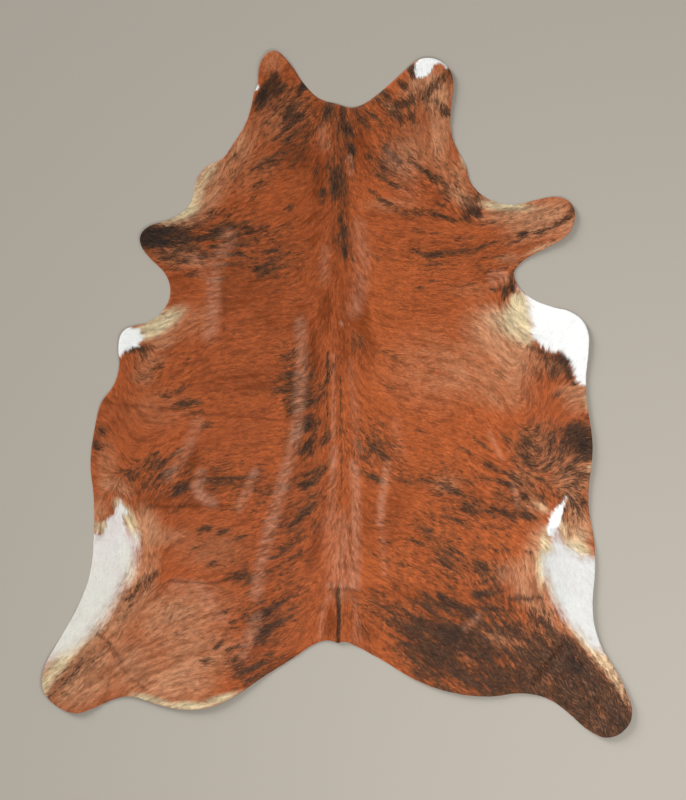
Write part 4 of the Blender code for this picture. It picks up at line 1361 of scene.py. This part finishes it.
def build_coat(skin_sizes, sizes, colours):
    """The coat's bands, from the tail to the neck."""
    plan, edge, _, fields = hide_plan()
    dice = np.random.default_rng(SEED + 1)
    top, _ = skin_sides(fields, skin_sizes)
    material = coat_material(colours)
    across, along = roots(plan, fields, sizes.locks_per_band * len(HAIR_BANDS), dice)
    bands = np.array_split(np.arange(len(across)), len(HAIR_BANDS))
    coat = [
        grow_band(f"coat_{place}", across[rows], along[rows], sizes, material, top, dice)
        for place, rows in zip(HAIR_BANDS, bands)
    ]
    lay_as_sheet(edge)


# ---------------------------------------------------------------- stage


def look_at(item, target):
    aim = Vector(target) - item.location
    item.rotation_euler = aim.to_track_quat("-Z", "Y").to_euler()


def build_floor(settings):
    corners = [(-1, -1), (1, -1), (1, 1), (-1, 1)]
    places = np.array([(FLOOR_REACH * x, FLOOR_REACH * y, -FLOOR_DROP) for x, y in corners])
    floor = mesh_object("floor", places, np.array([(0, 1, 2), (0, 2, 3)]), False)
    shader = Shader("plain_floor")
    shader.feed(Base_Color=tuple(settings.floor), Roughness=0.9, Specular_IOR_Level=0.1)
    floor.data.materials.append(shader.material)


def build_camera(settings):
    """A camera straight above, so high that a pixel on the floor has its size."""
    width, height = PHOTO
    camera = put("camera", bpy.data.cameras.new("camera"))
    camera.data.lens = settings.lens
    camera.data.sensor_width = SENSOR * MILLIMETRES
    camera.data.clip_end = 100.0
    camera.location = (
        (width / 2 - HIDE_MIDDLE[0]) * PIXEL,
        (HIDE_MIDDLE[1] - height / 2) * PIXEL,
        height * PIXEL * settings.lens / (SENSOR * MILLIMETRES),
    )
    bpy.context.scene.camera = camera


def build_lights(settings):
    """A low soft sun from the side, a lamp over the tail end and even light all round."""
    key = put("key_light", bpy.data.lights.new("key_light", "SUN"))
    key.data.energy = settings.key_strength
    key.data.angle = settings.key_softness
    level = KEY_DISTANCE * math.cos(settings.key_height)
    key.location = (
        level * math.cos(settings.key_side),
        level * math.sin(settings.key_side),
        KEY_DISTANCE * math.sin(settings.key_height),
    )
    look_at(key, (0.0, 0.0, 0.0))

    lamp = put("fill_light", bpy.data.lights.new("fill_light", "AREA"))
    lamp.data.energy = settings.fill_power
    lamp.data.shape = "DISK"
    lamp.data.size = FILL_SIZE
    lamp.location = FILL_PLACE
    look_at(lamp, FILL_AIM)

    world = bpy.data.worlds.new("studio")
    world.use_nodes = True
    background = world.node_tree.nodes["Background"]
    background.inputs["Color"].default_value = FILL_TINT
    background.inputs["Strength"].default_value = settings.fill_strength
    bpy.context.scene.world = world


def build_stage(settings):
    build_floor(settings)
    build_camera(settings)
    build_lights(settings)
    bpy.context.scene.view_settings.view_transform = "Standard"


# ---------------------------------------------------------------- operators and panel


class COWHIDE_OT_skin(bpy.types.Operator):
    """Lays the skin, with its folds and creases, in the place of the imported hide"""

    bl_idname = "cowhide.skin"
    bl_label = "Lay the skin"

    def execute(self, context):
        scene = context.scene
        build_skin(scene.cowhide_skin, scene.cowhide_colours)
        return {"FINISHED"}


class COWHIDE_OT_coat(bpy.types.Operator):
    """Grows the lying hair on the skin, band by band"""

    bl_idname = "cowhide.coat"
    bl_label = "Grow the coat"

    def execute(self, context):
        scene = context.scene
        build_coat(scene.cowhide_skin, scene.cowhide_coat, scene.cowhide_colours)
        return {"FINISHED"}


class COWHIDE_OT_stage(bpy.types.Operator):
    """Sets the plain floor, the soft light and the camera over the rug"""

    bl_idname = "cowhide.stage"
    bl_label = "Set the stage"

    def execute(self, context):
        build_stage(context.scene.cowhide_studio)
        return {"FINISHED"}


class COWHIDE_PT_panel(bpy.types.Panel):
    """The rug's sizes, colours and steps"""

    bl_idname = "COWHIDE_PT_panel"
    bl_label = "Cowhide rug"
    bl_space_type = "VIEW_3D"
    bl_region_type = "UI"
    bl_category = "Cowhide"

    def draw(self, context):
        for group in (name for name, _ in SETTINGS):
            box = self.layout.box()
            settings = getattr(context.scene, group)
            for name in settings.__annotations__:
                box.prop(settings, name)
        for operator in OPERATORS:
            self.layout.operator(operator.bl_idname)


SETTINGS = (
    ("cowhide_skin", SkinSizes),
    ("cowhide_coat", CoatSizes),
    ("cowhide_colours", CoatColours),
    ("cowhide_studio", StudioSettings),
)
OPERATORS = (COWHIDE_OT_skin, COWHIDE_OT_coat, COWHIDE_OT_stage)
CLASSES = (*(group for _, group in SETTINGS), *OPERATORS, COWHIDE_PT_panel)


def register():
    for item in CLASSES:
        bpy.utils.register_class(item)
    for name, group in SETTINGS:
        setattr(bpy.types.Scene, name, bpy.props.PointerProperty(type=group))


def unregister():
    for name, _ in SETTINGS:
        delattr(bpy.types.Scene, name)
    for item in reversed(CLASSES):
        bpy.utils.unregister_class(item)


def main():
    register()
    bpy.ops.cowhide.skin()
    bpy.ops.cowhide.coat()
    bpy.ops.cowhide.stage()


if __name__ == "__main__":
    main()
